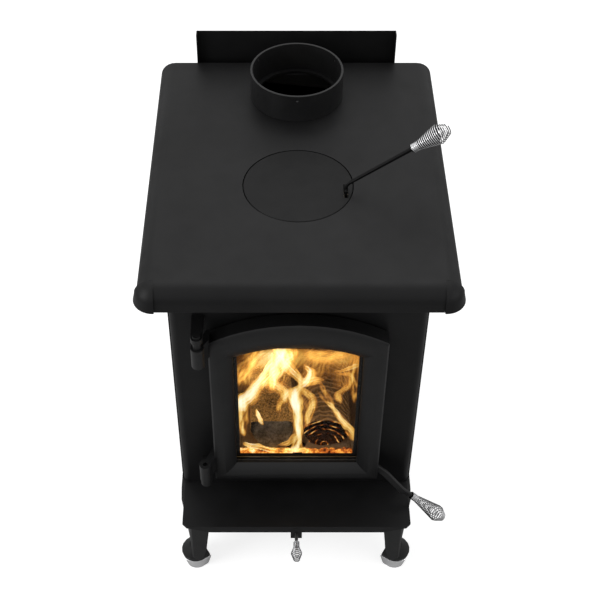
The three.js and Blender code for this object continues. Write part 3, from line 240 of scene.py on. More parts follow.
def high_heat_paint(name, color, roughness, specular, grain_depth):
    made = Finish(name, color, roughness, specular=specular)
    dark, light = (tuple(c * share for c in color) for share in (DARKEST, LIGHTEST))
    clouds, sheen = made.noise(PAINT_CLOUDS, detail=5), made.noise(PAINT_SHEEN)
    made.drive("Base Color", made.ramp(clouds, (0.3, dark), (0.7, light)))
    made.drive("Roughness", made.ramp(sheen, (0.25, roughness + SMOOTHEST), (0.75, roughness + ROUGHEST)))
    made.bump(made.noise(PAINT_GRAIN, detail=2), grain_depth, 0.5)
    return made.material


plate_paint = high_heat_paint("plate_paint", (0.0052, 0.0052, 0.0054), 0.46, 0.145, 0.00006)

MERGE_WITHIN = 1e-6  # metres
FLAT_WITHIN = 0.5  # degrees


def merged(node, flat_within=None):
    """A copy of a CAD piece's mesh with its triangles joined up, and its flat faces too if asked."""
    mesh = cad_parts[node].data.copy()
    bm = bmesh.new()
    bm.from_mesh(mesh)
    bmesh.ops.remove_doubles(bm, verts=bm.verts, dist=MERGE_WITHIN)
    if flat_within:
        bmesh.ops.dissolve_limit(
            bm, angle_limit=radians(flat_within), verts=bm.verts, edges=bm.edges, delimit={"NORMAL"})
    bm.to_mesh(mesh)
    bm.free()
    return mesh


def settled(worked):
    """An object's mesh with its modifiers applied; the object itself goes."""
    depsgraph = bpy.context.evaluated_depsgraph_get()
    mesh = bpy.data.meshes.new_from_object(worked.evaluated_get(depsgraph))
    bpy.data.objects.remove(worked)
    return mesh


def coat(mesh, material):
    mesh.materials.clear()
    mesh.materials.append(material)


def dressed(node, piece, material, edge, body="stove", smooth=32):
    """A CAD piece with its edges broken by a radius in metres, where they turn more than smooth degrees."""
    mesh = merged(node, FLAT_WITHIN)
    coat(mesh, material)
    rough = linked(piece + "_rough", mesh)
    bevel = rough.modifiers.new("broken_edge", "BEVEL")
    bevel.width, bevel.segments, bevel.limit_method = edge, 2, "ANGLE"
    bevel.angle_limit = radians(smooth)
    bevel.miter_outer = "MITER_ARC"
    finished = settled(rough)
    finished.name = piece
    finished.shade_smooth()
    finished.set_sharp_from_angle(angle=radians(smooth))
    made = linked(piece, finished)
    weighted = made.modifiers.new("weighted", "WEIGHTED_NORMAL")
    weighted.keep_sharp = True
    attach(made, body)
    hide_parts(node)
    return made


for node in ("body_wrap", "front_plate", "ash_lip"):
    dressed(node, node + "_plate", plate_paint, 0.0007)
for node in ("floor_plate", "air_box", "air_bracket"):
    dressed(node, node + "_sheet", plate_paint, 0.0005)

# ---------------------------------------------------------------- cooking top
# One heavy steel plate, rolled down at its front and sides to a short skirt. A cap covers
# each front corner and laps a little over the rolled edges, so that no seam shows white.
SEAM_REACH, SEAM_LAP = 0.0007, 0.0012
dressed("cooktop", "cooktop_shell", plate_paint, 0.0006)
for hand, inwards in (("left", 1), ("right", -1)):
    corner_cap = "corner_cap_" + hand
    cap = dressed(corner_cap, corner_cap + "_shell", plate_paint, 0.0006)
    seam = max(vertex.co.x * inwards for vertex in cap.data.vertices)
    for vertex in cap.data.vertices:
        if vertex.co.x * inwards > seam - SEAM_REACH:
            vertex.co.x += inwards * SEAM_LAP

# ---------------------------------------------------------------- flue collar
# A cast ring stands on the top round the flue hole and takes the stove pipe. Three small
# holes near its rim are for the screws that hold the pipe.
cast_paint = high_heat_paint("cast_paint", (0.006, 0.006, 0.0062), 0.42, 0.24, 0.00015)
dressed("flue_collar", "collar_casting", cast_paint, 0.0005)

# ---------------------------------------------------------------- lid, its seat and its lifter
# A cast lid lies flush on a ring welded under the top. The lifter's toe hooks into the
# slot; its grip is wound from one bright nickel wire, so that it stays cool.
lid_paint = high_heat_paint("lid_paint", (0.0046, 0.0046, 0.0047), 0.5, 0.12, 0.0001)
dressed("lid_seat_ring", "lid_seat_ring_casting", lid_paint, 0.0004)
dressed("cook_lid", "cook_lid_casting", lid_paint, 0.0004, "cook_lid")
rod_black = high_heat_paint("rod_black", (0.003, 0.003, 0.0031), 0.5, 0.08, 0.0001)
rod = dressed("lid_lifter", "lid_lifter_rod", rod_black, 0.0004, "lid_lifter")

# Above its toe the rod is 2 mm thicker than its solid, as it looks in the photo.
ROD_FOOT, ROD_GROWTH = 0.718, 0.001
for vertex in rod.data.vertices:
    if vertex.co.z > ROD_FOOT:
        vertex.co += vertex.normal * ROD_GROWTH


def nickel_plate(name, shade_painted=False):
    """Bright nickel; on a wound grip, shade is painted dark into its colour inside and where one curl shades
    the next.
    """
    made = Finish(name, (0.78, 0.78, 0.79), 0.16, metallic=1.0)
    if shade_painted:
        painted_shade = made.nodes.new("ShaderNodeAttribute")
        painted_shade.attribute_name = "painted_shade"
        # Painted shade: nearly black where the wire faces the next curl or its axis, bright elsewhere.
        made.drive("Base Color", made.ramp(
            painted_shade.outputs["Fac"],
            (0.3, (0.84, 0.84, 0.85)), (0.55, (0.36, 0.36, 0.37)), (0.8, (0.02, 0.02, 0.022))))
    made.drive("Roughness", made.ramp(made.noise(160), (0.3, 0.1), (0.7, 0.24)))
    made.bump(made.noise(900, detail=2), 0.00003, 0.3)
    return made.material


nickel, wire_nickel = nickel_plate("nickel_plate"), nickel_plate("wire_nickel", shade_painted=True)


class Recipe:
    """A Geometry Nodes tree for one kind of piece, with a named input for each of its sizes."""

    def __init__(self, name, sizes):
        self.tree = bpy.data.node_groups.new(name, "GeometryNodeTree")
        panel = self.tree.interface
        panel.new_socket("Geometry", in_out="OUTPUT", socket_type="NodeSocketGeometry")
        kinds = {"Geometry": "Geometry", "Material": "Material", **dict.fromkeys(sizes, "Float")}
        self.identifiers = {}
        for label, kind in kinds.items():
            socket = panel.new_socket(label, in_out="INPUT", socket_type="NodeSocket" + kind)
            self.identifiers[label] = socket.identifier
        self.given = self.tree.nodes.new("NodeGroupInput").outputs
        self.result = self.tree.nodes.new("NodeGroupOutput").inputs[0]

    def add(self, kind, inputs, output=0, **settings):
        node = self.tree.nodes.new(kind)
        for label, value in settings.items():
            setattr(node, label, value)
        for label, value in inputs.items():
            if isinstance(value, bpy.types.NodeSocket):
                self.tree.links.new(value, node.inputs[label])
            else:
                node.inputs[label].default_value = value
        return node.outputs[output]

    def math(self, operation, a, b=0.0):
        return self.add("ShaderNodeMath", {0: a, 1: b}, operation=operation)

    def between(self, value, low, high, first, last):
        """Runs from first to last as the value goes from low to high, and stays there."""
        return self.add("ShaderNodeMapRange", {0: value, 1: low, 2: high, 3: first, 4: last})

    def finish(self, geometry):
        real = self.add("GeometryNodeRealizeInstances", {"Geometry": geometry})
        covered = self.add("GeometryNodeSetMaterial", {"Geometry": real, "Material": self.given["Material"]})
        self.tree.links.new(covered, self.result)

    def make(self, name, place, material, sizes, base=None):
        """The finished piece as a plain mesh; place is the matrix that sets it on the stove."""
        holder = linked(name + "_recipe", base or bpy.data.meshes.new(name + "_seed"))
        modifier = holder.modifiers.new(self.tree.name, "NODES")
        modifier.node_group = self.tree
        modifier[self.identifiers["Material"]] = material
        for label, value in sizes.items():
            modifier[self.identifiers[label]] = float(value)
        mesh = settled(holder)
        mesh.transform(place)
        mesh.name = name
        mesh.shade_smooth()
        return linked(name, mesh)


# The wire runs close round a neck, opens on a straight cone and tapers back to a blunt tip.
grip_wire = Recipe("grip_wire", (
    "Neck", "Width", "Tip", "Neck length", "Cone length", "Tip length", "Wire", "Curls", "Neck curls"))
STEPS_PER_CURL, WIRE_SIDES = 28, 10
INSIDE_BLEND = 0.3  # the wire is all shaded where it faces inwards by this, and clear outwards by it
given = grip_wire.given
widest = grip_wire.math("ADD", given["Neck length"], given["Cone length"])
tip_end = grip_wire.math("ADD", widest, given["Tip length"])
half_wire = grip_wire.math("DIVIDE", given["Wire"], 2.0)
open_run = grip_wire.math(
    "SUBTRACT", grip_wire.math("ADD", given["Cone length"], given["Tip length"]), half_wire)
bare_line = grip_wire.add("GeometryNodeResampleCurve", {
    "Curve": grip_wire.add("GeometryNodeCurvePrimitiveLine", {}),
    "Count": grip_wire.math("MULTIPLY", given["Curls"], float(STEPS_PER_CURL)),
})
turns = grip_wire.math("MULTIPLY", grip_wire.add("GeometryNodeSplineParameter", {}), given["Curls"])
reach = grip_wire.math(
    "ADD",
    grip_wire.between(turns, 0.0, given["Neck curls"], half_wire, given["Neck length"]),
    grip_wire.between(turns, given["Neck curls"], given["Curls"], 0.0, open_run))
narrowing = grip_wire.math("SUBTRACT", given["Tip"], given["Width"])
across = grip_wire.math(
    "ADD",
    grip_wire.between(reach, given["Neck length"], widest, given["Neck"], given["Width"]),
    grip_wire.between(reach, widest, tip_end, 0.0, narrowing))
radius = grip_wire.math("DIVIDE", grip_wire.math("SUBTRACT", across, given["Wire"]), 2.0)
angle = grip_wire.math("MULTIPLY", turns, 2 * pi)
wound = grip_wire.add("GeometryNodeSetPosition", {
    "Geometry": bare_line,
    "Position": grip_wire.add("ShaderNodeCombineXYZ", {
        "X": grip_wire.math("MULTIPLY", radius, grip_wire.math("COSINE", angle)),
        "Y": grip_wire.math("MULTIPLY", radius, grip_wire.math("SINE", angle)),
        "Z": reach,
    }),
})
wire_section = grip_wire.add(
    "GeometryNodeCurvePrimitiveCircle", {"Resolution": WIRE_SIDES, "Radius": half_wire})
wire_skin = grip_wire.add("GeometryNodeCurveToMesh", {
    "Curve": wound, "Profile Curve": wire_section, "Fill Caps": True})

# Painted shade: the wire's colour is darkened where it faces along the grip, towards the next curl, or in to
# its axis.
facing = grip_wire.add("GeometryNodeInputNormal", {})
lengthwise = grip_wire.add("ShaderNodeSeparateXYZ", {"Vector": facing}, output=2)
off_axis = grip_wire.add(
    "ShaderNodeVectorMath", {0: grip_wire.add("GeometryNodeInputPosition", {}), 1: (1.0, 1.0, 0.0)},
    operation="MULTIPLY")
from_axis = grip_wire.add("ShaderNodeVectorMath", {0: off_axis}, operation="NORMALIZE")
outwards = grip_wire.add(
    "ShaderNodeVectorMath", {0: facing, 1: from_axis}, output=1, operation="DOT_PRODUCT")
inside = grip_wire.between(outwards, -INSIDE_BLEND, INSIDE_BLEND, 1.0, 0.0)
grip_wire.finish(grip_wire.add("GeometryNodeStoreNamedAttribute", {
    "Geometry": wire_skin, "Name": "painted_shade",
    "Value": grip_wire.math("MAXIMUM", grip_wire.math("ABSOLUTE", lengthwise), inside)}))


MILLIMETRES = Matrix.Scale(0.001, 4)


def sloped(degrees):
    """Towards the stove's right, and up by so many degrees."""
    return Vector((cos(radians(degrees)), 0, sin(radians(degrees))))


def wound_grip(name, node, start, axis, body, sizes):
    """A grip drawn along +Z in millimetres, turned along its axis and set at its start."""
    turn = Vector(axis).to_track_quat("Z", "Y").to_matrix().to_4x4()
    place = Matrix.Translation(at(*start)) @ turn @ MILLIMETRES
    made = grip_wire.make(name, place, wire_nickel, sizes)
    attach(made, body)
    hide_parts(node)


LIFTER_BEND, LIFTER_ROD, LIFTER_SLOPE = Vector((76, 169.5, 710.5)), 123.5, sloped(36.4)
LIFTER_END = LIFTER_BEND + LIFTER_SLOPE * LIFTER_ROD
wound_grip("lifter_grip", "lifter_coil", LIFTER_END, LIFTER_SLOPE, "lid_lifter", {
    "Neck": 15, "Width": 33, "Tip": 16.5,
    "Neck length": 11, "Cone length": 36.4, "Tip length": 17.6,
    "Wire": 1.6, "Curls": 22, "Neck curls": 6})

# ---------------------------------------------------------------- rear heat shield
# A thin steel sheet, folded along its sides, hangs behind the body and keeps the wall cool.
# Its four tabs lie on the body's back, each held by a plain steel screw.
dressed("rear_shield", "heat_shield_sheet", plate_paint, 0.0004)


def dull_steel():
    made = Finish("dull_steel", (0.2, 0.2, 0.2), 0.42, metallic=1.0)
    made.drive("Base Color", made.ramp(made.noise(45), (0.3, (0.13, 0.125, 0.12)), (0.7, (0.25, 0.25, 0.25))))
    made.drive("Roughness", made.ramp(made.noise(300), (0.3, 0.34), (0.7, 0.52)))
    return made.material


steel = dull_steel()
LEVELS, HANDS = ("lower", "upper"), ("left", "right")
CORNERS = [f"{level}_{hand}" for level in LEVELS for hand in HANDS]
for corner in CORNERS:
    dressed("shield_screw_" + corner, f"shield_screw_{corner}_steel", steel, 0.0003)

# ---------------------------------------------------------------- legs and toe caps
# Four ridged iron castings, each on one bolt through the floor, with a bright cap slipped
# over the toe.
for end in ("front", "rear"):
    for hand in HANDS:
        leg = f"leg_{end}_{hand}"
        dressed(leg, leg + "_casting", cast_paint, 0.0006, smooth=40)
        dressed(f"toe_cap_{end}_{hand}", f"toe_{end}_{hand}_cap", nickel, 0.0003, smooth=50)
        dressed(f"leg_bolt_{end}_{hand}", leg + "_bolt", steel, 0.0004)

# ---------------------------------------------------------------- door
# One arched iron casting. A rope in its groove seals it against the front plate; a
# retainer ring and four screws hold the glass in its rebate.
dressed("door_frame", "door_casting", cast_paint, 0.0006, "door", smooth=24)
dressed("glass_retainer", "glass_retainer_ring", steel, 0.0003, "door")
for corner in CORNERS:
    dressed("retainer_screw_" + corner, f"retainer_screw_{corner}_steel", steel, 0.0003, "door")


def knitted_rope():
    made = Finish("knitted_rope", (0.1, 0.095, 0.09), 0.95, specular=0.2)
    knit = made.nodes.new("ShaderNodeTexVoronoi")
    knit.inputs["Scale"].default_value = 620
    made.links.new(made.coordinates, knit.inputs["Vector"])
    stitch = knit.outputs["Distance"]
    made.drive("Base Color", made.ramp(stitch, (0.1, (0.15, 0.14, 0.13)), (0.7, (0.03, 0.03, 0.03))))
    made.bump(stitch, 0.0005, 0.8)
    return made.material


rope = knitted_rope()
for node in ("door_rope", "glass_gasket"):
    coat(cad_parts[node].data, rope)

GLASS_GLOSS = 0.006  # share of the light that it mirrors


def fire_glass():
    """Clear ceramic glass, faintly amber, browned a little by smoke."""
    made = Finish("fire_glass", (0.9, 0.85, 0.76), 0.04)
    nodes, links = made.nodes, made.links
    clear = nodes.new("ShaderNodeBsdfTransparent")
    smoke = made.ramp(made.noise(16, detail=6), (0.35, (0.98, 0.97, 0.95)), (0.75, (0.92, 0.88, 0.82)))
    links.new(smoke, clear.inputs["Color"])
    gloss = nodes.new("ShaderNodeBsdfGlossy")
    gloss.inputs["Roughness"].default_value = 0.05
    both = nodes.new("ShaderNodeMixShader")
    both.inputs["Fac"].default_value = GLASS_GLOSS
    links.new(clear.outputs[0], both.inputs[1])
    links.new(gloss.outputs[0], both.inputs[2])
    links.new(both.outputs[0], nodes["Material Output"].inputs["Surface"])
    return made.material


coat(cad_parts["door_glass"].data, fire_glass())

# Black enamel is fired on the glass's rear face round the window, with a small tab below.
WINDOW_HALF, WINDOW_FOOT, WINDOW_SIDE, WINDOW_TOP, WINDOW_CORNER = 98.5, 250, 507.5, 523, 64
TAB_LEFT, TAB_RIGHT, TAB_TOP = -6.3, 9.7, 252
inner_edge = [
    (-WINDOW_HALF, WINDOW_FOOT), (TAB_LEFT, WINDOW_FOOT), (TAB_LEFT, TAB_TOP),
    (TAB_RIGHT, TAB_TOP), (TAB_RIGHT, WINDOW_FOOT), (WINDOW_HALF, WINDOW_FOOT),
    (WINDOW_HALF, WINDOW_SIDE), (WINDOW_CORNER, WINDOW_TOP),
    (-WINDOW_CORNER, WINDOW_TOP), (-WINDOW_HALF, WINDOW_SIDE)]
BORDER_HALF, BORDER_FOOT, BORDER_SPRING, BORDER_CROWN = 107, 243, 520, 548
ARCH_STEPS = 24
outer_edge = [(-BORDER_HALF, BORDER_FOOT), (BORDER_HALF, BORDER_FOOT)] + [
    (BORDER_HALF * (1 - 2 * i / ARCH_STEPS),
     BORDER_SPRING + (BORDER_CROWN - BORDER_SPRING) * (1 - (1 - 2 * i / ARCH_STEPS) ** 2))
    for i in range(ARCH_STEPS + 1)]
GLASS_REAR, ENAMEL_HALF = -10.1, 0.05  # in front of the front plate's face; half a thickness


def enamel():
    made = Finish("fired_enamel", (0.006, 0.006, 0.006), 0.35, specular=0.2)
    made.drive("Roughness", made.ramp(made.noise(300), (0.3, 0.3), (0.7, 0.45)))
    return made.material


border_curve = bpy.data.curves.new("enamel_outline", "CURVE")
border_curve.dimensions, border_curve.fill_mode = "2D", "BOTH"
border_curve.extrude = ENAMEL_HALF
for edge in (outer_edge, inner_edge):
    line = border_curve.splines.new("POLY")
    line.points.add(len(edge) - 1)
    for point, (x, z) in zip(line.points, edge):
        point.co = (x, z, 0, 1)
    line.use_cyclic_u = True
border_mesh = settled(linked("enamel_outline", border_curve))
upright = Matrix.Rotation(pi / 2, 4, "X")
border_mesh.transform(Matrix.Translation(at(0, GLASS_REAR, 0)) @ upright @ MILLIMETRES)
coat(border_mesh, enamel())
border = linked("glass_enamel_border", border_mesh)
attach(border, "door")

# ---------------------------------------------------------------- hinges
# Two cast lugs on the front plate carry a pin each, painted like the castings. The door's
# knuckles turn on the pins, with a spacer ring at the upper one.
for level in LEVELS:
    dressed("hinge_lug_" + level, f"hinge_lug_{level}_casting", cast_paint, 0.0006)
    dressed("hinge_pin_" + level, f"hinge_pin_{level}_steel", cast_paint, 0.0003)
dressed("hinge_spacer_upper", "hinge_spacer_upper_ring", cast_paint, 0.0003)

# ---------------------------------------------------------------- latch
# A cast crank on a shoulder bolt in the door's lower corner. Its finger draws behind the
# head of a stud on the front plate, and its grip is wound like the lifter's.
dressed("door_latch", "latch_casting", cast_paint, 0.0005, "latch")
dressed("latch_bolt", "latch_shoulder_bolt", steel, 0.0003, "door")
dressed("latch_keeper", "latch_keeper_stud", steel, 0.0003)
wound_grip("latch_grip", "latch_coil", (203.4, -44, 173), sloped(-48), "latch", {
    "Neck": 13, "Width": 30.5, "Tip": 14,
    "Neck length": 16, "Cone length": 59.6, "Tip length": 18.9,
    "Wire": 1.7, "Curls": 26, "Neck curls": 8})

# ---------------------------------------------------------------- air control
# A flat steel shutter slides under the floor's air inlet. Its rod comes out below the ash
# lip and ends in the smallest of the three wound grips.
dressed("air_slide", "air_shutter", steel, 0.0003, "air_control")
wound_grip("air_grip", "air_coil", (0, -110.5, 125), (0, -1, 0), "air_control", {
    "Neck": 10.7, "Width": 20.3, "Tip": 10.2,
    "Neck length": 10.3, "Cone length": 12.9, "Tip length": 14.8,
    "Wire": 1.3, "Curls": 15, "Neck curls": 6})

# ---------------------------------------------------------------- firebox lining
# Fireclay panels line the floor, the sides and the back, each in one piece and scored
# where its bricks meet. The fire has sooted them unevenly.


def fireclay():
    made = Finish("fireclay", (0.42, 0.32, 0.2), 0.92, specular=0.2)
    clouds, pits = made.noise(9, detail=6, roughness=0.65), made.noise(420, detail=3)
    soot = made.ramp(clouds, (0.3, (0.08, 0.06, 0.045)), (0.7, (0.46, 0.34, 0.21)))
    body = made.ramp(pits, (0.35, (0.25, 0.19, 0.13)), (0.6, (0.55, 0.42, 0.28)))
    made.drive("Base Color", made.mix(0.5, soot, body))
    made.bump(pits, 0.0008, 0.7)
    return made.material


clay = fireclay()
for node in ("hearth_panel", "side_panel_left", "side_panel_right", "rear_panel"):
    dressed(node, node + "_clay", clay, 0.0008)

# ---------------------------------------------------------------- burn tubes, baffle, air plate
# Steel tubes with rows of jets carry a fibre board, over which the smoke turns to the
# flue. A steel plate sends air down behind the glass.


def scorched_steel():
    made = Finish("scorched_steel", (0.14, 0.11, 0.09), 0.55, metallic=0.9)
    made.drive("Base Color", made.ramp(
        made.noise(14, detail=5),
        (0.3, (0.06, 0.06, 0.075)), (0.5, (0.17, 0.12, 0.08)), (0.72, (0.24, 0.17, 0.1))))
    made.bump(made.noise(260, detail=4), 0.0002, 0.6)
    return made.material


scorched = scorched_steel()
for node in ("burn_tubes", "air_wash_plate"):
    dressed(node, node + "_steel", scorched, 0.0003)


def fibre_board():
    made = Finish("fibre_board", (0.5, 0.44, 0.34), 0.95, specular=0.15)
    fibre = made.noise(130, detail=8, stretch=(1, 4, 1), roughness=0.7)
    made.drive("Base Color", made.ramp(fibre, (0.3, (0.22, 0.18, 0.13)), (0.65, (0.58, 0.52, 0.42))))
    made.bump(fibre, 0.0006, 0.6)
    return made.material


dressed("baffle_board", "baffle_fibre_board", fibre_board(), 0.001)

# ---------------------------------------------------------------- split logs
# Two split logs lie front to back on the hearth. The left one shows a sawn end, ashy grey;
# the right one is burnt to checked char, with fire in the cracks of its rings.
EMBER = (
    (0.0, (0.0, 0.0, 0.0)), (0.35, (0.16, 0.03, 0.004)),
    (0.7, (0.75, 0.26, 0.035)), (1.0, (1.0, 0.72, 0.25)))
RING_PITCH, ARC_PITCH = 620.0, 560.0  # radians to the metre, on the end and along the side
RING_WOBBLE, ARC_WOBBLE = 0.012, 2.2  # metres on the end, and how many times that along the side
ARC_BOW = 9.0  # how much the arcs on the side curve forwards towards the log's edges


def log_finish(name, pith, end_colours, ring_glow, side_colours, side_glow, side_rings):
    """Wood with rings round its pith on the end that faces the door, and arcs or char along it."""
    made = Finish(name, side_colours[0], 0.9, specular=0.15)
    nodes, links = made.nodes, made.links
    place = nodes.new("ShaderNodeMapping")
    place.vector_type = "TEXTURE"
    place.inputs["Location"].default_value = at(*pith)
    links.new(made.coordinates, place.inputs["Vector"])
    parts = nodes.new("ShaderNodeSeparateXYZ")
    links.new(place.outputs["Vector"], parts.inputs[0])
    across, along, up = parts.outputs
    across_square, up_square = made.math("MULTIPLY", across, across), made.math("MULTIPLY", up, up)
    out = made.math("SQRT", made.math("ADD", across_square, up_square))
    outwards = nodes.new("ShaderNodeSeparateXYZ")
    links.new(nodes.new("ShaderNodeNewGeometry").outputs["Normal"], outwards.inputs[0])
    forwards = made.math("MULTIPLY", outwards.outputs["Y"], -1.0)
    on_end = made.ramp(forwards, (0.45, 0.0), (0.62, 1.0))
    grain, dots = made.noise(210, detail=6, roughness=0.65), made.noise(430, detail=3)
    wobble = made.math("MULTIPLY", made.noise(38, detail=4), RING_WOBBLE)

    ring = made.math("SINE", made.math("MULTIPLY", made.math("ADD", out, wobble), RING_PITCH))
    broken = made.ramp(made.noise(60, detail=3), (0.42, 0.0), (0.62, 1.0))
    cracks = made.math("MULTIPLY", made.ramp(ring, (0.62, 0.0), (0.98, 1.0)), broken)
    ashes = made.ramp(made.noise(26, detail=5, distortion=1.5), (0.3, 0.35), (0.7, 1.0))
    rim = made.ramp(out, (0.031, 1.0), (0.04, 0.12))
    end_grain = made.ramp(grain, (0.35, end_colours[0]), (0.68, end_colours[1]))
    face = made.mix(1.0, made.mix(1.0, end_grain, ashes, "MULTIPLY"), rim, "MULTIPLY")

    bow = made.math("ADD", along, made.math("MULTIPLY", across_square, ARC_BOW))
    sway = made.math("MULTIPLY", wobble, ARC_WOBBLE)
    arcs = made.math("SINE", made.math("MULTIPLY", made.math("ADD", bow, sway), ARC_PITCH))
    pitted, arced = made.ramp(dots, (0.42, 0.25), (0.56, 1.0)), made.ramp(arcs, (0.05, 0.35), (0.85, 1.0))
    shade = made.mix(side_rings, pitted, arced)
    side_grain = made.ramp(grain, (0.3, side_colours[0]), (0.7, side_colours[1]))
    side = made.mix(1.0, side_grain, shade, "MULTIPLY")
    made.drive("Base Color", made.mix(on_end, side, face))

    patches = made.ramp(made.noise(17, detail=4), (0.34, 0.3), (0.62, 1.0))
    smoulder = made.mix(1.0, made.mix(1.0, side_glow, shade, "MULTIPLY"), patches, "MULTIPLY")
    fire = made.mix(1.0, made.ramp(cracks, *EMBER), (ring_glow,) * 3, "MULTIPLY")
    made.drive("Emission Color", made.mix(on_end, smoulder, fire))
    made.set("Emission Strength", 1.0)
    made.bump(arcs if side_rings > 0.5 else dots, 0.002, 0.7)
    made.bump(grain, 0.0012, 0.6)
    return made.material


sawn_log = log_finish(
    "sawn_log", pith=(-42, 46, 215),
    end_colours=((0.1, 0.09, 0.085), (0.34, 0.31, 0.28)), ring_glow=0.0,
    side_colours=((0.1, 0.055, 0.02), (0.42, 0.26, 0.1)), side_glow=(0.3, 0.15, 0.04), side_rings=0.12)
burnt_log = log_finish(
    "burnt_log", pith=(52, 54, 190),
    end_colours=((0.012, 0.008, 0.006), (0.1, 0.055, 0.03)), ring_glow=0.8,
    side_colours=((0.06, 0.035, 0.018), (0.3, 0.18, 0.08)), side_glow=(0.17, 0.085, 0.03), side_rings=0.8)
LOG_VOXEL, BARK_DEPTH = 0.003, 0.0022
BARK_ACROSS, BARK_ALONG = 70, 16  # ridges to the metre


def rough_log(node, piece, material, seed):
    """The log's solid, remeshed fine, with its bark sunk in by up to BARK_DEPTH."""
    raw = linked(piece + "_raw", merged(node))
    remesh = raw.modifiers.new("remesh", "REMESH")
    remesh.mode, remesh.voxel_size = "VOXEL", LOG_VOXEL
    grown = settled(raw)
    for vertex in grown.vertices:
        x, y, z = vertex.co
        spot = Vector((x * BARK_ACROSS, y * BARK_ALONG + seed, z * BARK_ACROSS))
        ridge = noise.fractal(spot, 0.7, 2.0, 4)
        vertex.co -= vertex.normal * BARK_DEPTH * (0.5 + 0.5 * min(1.0, abs(ridge) * 1.6))
    coat(grown, material)
    grown.shade_smooth()
    grown.name = piece
    made = linked(piece, grown)
    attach(made, "stove")
    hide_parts(node)


rough_log("log_front", "sawn_log_left", sawn_log, 3.0)
rough_log("log_rear", "burnt_log_right", burnt_log, 11.0)

# ---------------------------------------------------------------- embers
# Broken coals lie on the hearth in front of the logs, each of its own size and turn. They
# are charred black and grey, and glow where they burn.
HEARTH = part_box("hearth_panel")[1].z * 1000
BED_LEFT, BED_RIGHT, BED_FRONT, BED_REAR, BED_LIFT = -100, 100, 24, 44, 3.0


def live_coal():
    made = Finish("live_coal", (0.02, 0.012, 0.01), 0.95, specular=0.1)
    made.drive("Emission Color", made.ramp(
        made.noise(75, detail=5, roughness=0.6),
        (0.36, (0.03, 0.004, 0.001)), (0.46, (0.5, 0.11, 0.012)),
        (0.55, (1.0, 0.42, 0.06)), (0.68, (1.0, 0.85, 0.45))))
    made.set("Emission Strength", 1.2)
    made.drive("Base Color", made.ramp(
        made.noise(260, detail=4), (0.35, (0.01, 0.008, 0.007)), (0.7, (0.16, 0.13, 0.11))))
    return made.material


coal_bed = Recipe("coal_bed", ("Coals per square millimetre", "Smallest", "Largest"))
bed = coal_bed.given
lumps = coal_bed.add("ShaderNodeTexNoise", {"Scale": 1.7, "Detail": 2.0}, output=1)
coal = coal_bed.add("GeometryNodeSetPosition", {
    "Geometry": coal_bed.add("GeometryNodeMeshIcoSphere", {"Radius": 1.0, "Subdivisions": 2}),
    "Offset": coal_bed.add("ShaderNodeVectorMath", {0: lumps, 1: (-0.5, -0.5, -0.5)}, operation="ADD"),
})
strewn = coal_bed.add("GeometryNodeDistributePointsOnFaces", {
    "Mesh": bed["Geometry"], "Density": bed["Coals per square millimetre"], "Seed": 7})
tumbled = coal_bed.add(
    "FunctionNodeRandomValue", {"Min": (0.0, 0.0, 0.0), "Max": (6.0, 6.0, 6.0), "Seed": 2},
    data_type="FLOAT_VECTOR")
size = coal_bed.add(
    "FunctionNodeRandomValue", {2: bed["Smallest"], 3: bed["Largest"], "Seed": 3},
    output=1, data_type="FLOAT")
coal_bed.finish(coal_bed.add("GeometryNodeInstanceOnPoints", {
    "Points": strewn, "Instance": coal, "Rotation": tumbled, "Scale": size}))

bed_mesh = bpy.data.meshes.new("coal_bed_floor")
bed_corners = [(x, y, 0) for y in (BED_FRONT, BED_REAR) for x in (BED_LEFT, BED_RIGHT)]
bed_mesh.from_pydata(bed_corners, [], [(0, 1, 3, 2)])
on_hearth = Matrix.Translation(at(0, 0, HEARTH + BED_LIFT)) @ MILLIMETRES
coals = coal_bed.make("live_coals", on_hearth, live_coal(), {
    "Coals per square millimetre": 0.11, "Smallest": 2.0, "Largest": 6.0}, base=bed_mesh)
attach(coals, "stove")

# ---------------------------------------------------------------- flames
# Wood gas burns in tongues before and above the logs: a thin body that swells where it burns
# hottest. Each tongue follows a curved line, with streaks that run along it.
FLAME_STEP, FLAME_EDGE, FLAME_SWELL, FLAME_SPREAD = 1.5, 0.03, 5.0, 1.4
OCTAVES = 3
FADE_IN, FADE_OUT, MARGIN = 12, 16, 8  # millimetres from a tongue's ends and the body's edge
STREAK_WIDTH, STREAK_LENGTH = 4, 34
WANDER, FLICKER, RIPPLE = 9, 3, 4  # how far the tongues stray, in coarse and in fine waves and in depth


def lattice(u, v, seed):
    """Smooth value noise from 0 to 1 on a square lattice."""
    def corner(i, j):
        value = np.sin(i * 127.1 + j * 311.7 + seed * 74.7) * 43758.5453
        return value - np.floor(value)
    i, j = np.floor(u), np.floor(v)
    a, b = u - i, v - j
    a, b = a * a * (3 - 2 * a), b * b * (3 - 2 * b)
    return ((corner(i, j) * (1 - a) + corner(i + 1, j) * a) * (1 - b)
            + (corner(i, j + 1) * (1 - a) + corner(i + 1, j + 1) * a) * b)


def layered(u, v, seed):
    """Lattice noise with finer and weaker layers on top, still from 0 to 1."""
    layers = sum(lattice(u * 2 ** k, v * 2 ** k, seed + k) / 2 ** (k + 1) for k in range(OCTAVES))
    return layers / (1 - 2 ** -OCTAVES)


def smooth_line(points, steps=8):
    """A curve through all the points, in so many steps from one to the next."""
    p = np.array(points, float)
    p = np.vstack([2 * p[0] - p[1], p, 2 * p[-1] - p[-2]])
    t = np.linspace(0, 1, steps, endpoint=False)[:, None]
    runs = [
        0.5 * (2 * b + (c - a) * t + (2 * a - 5 * b + 4 * c - d) * t ** 2
               + (3 * b - a - 3 * c + d) * t ** 3)
        for a, b, c, d in zip(p, p[1:], p[2:], p[3:])]
    return np.vstack(runs + [p[-2][None]])


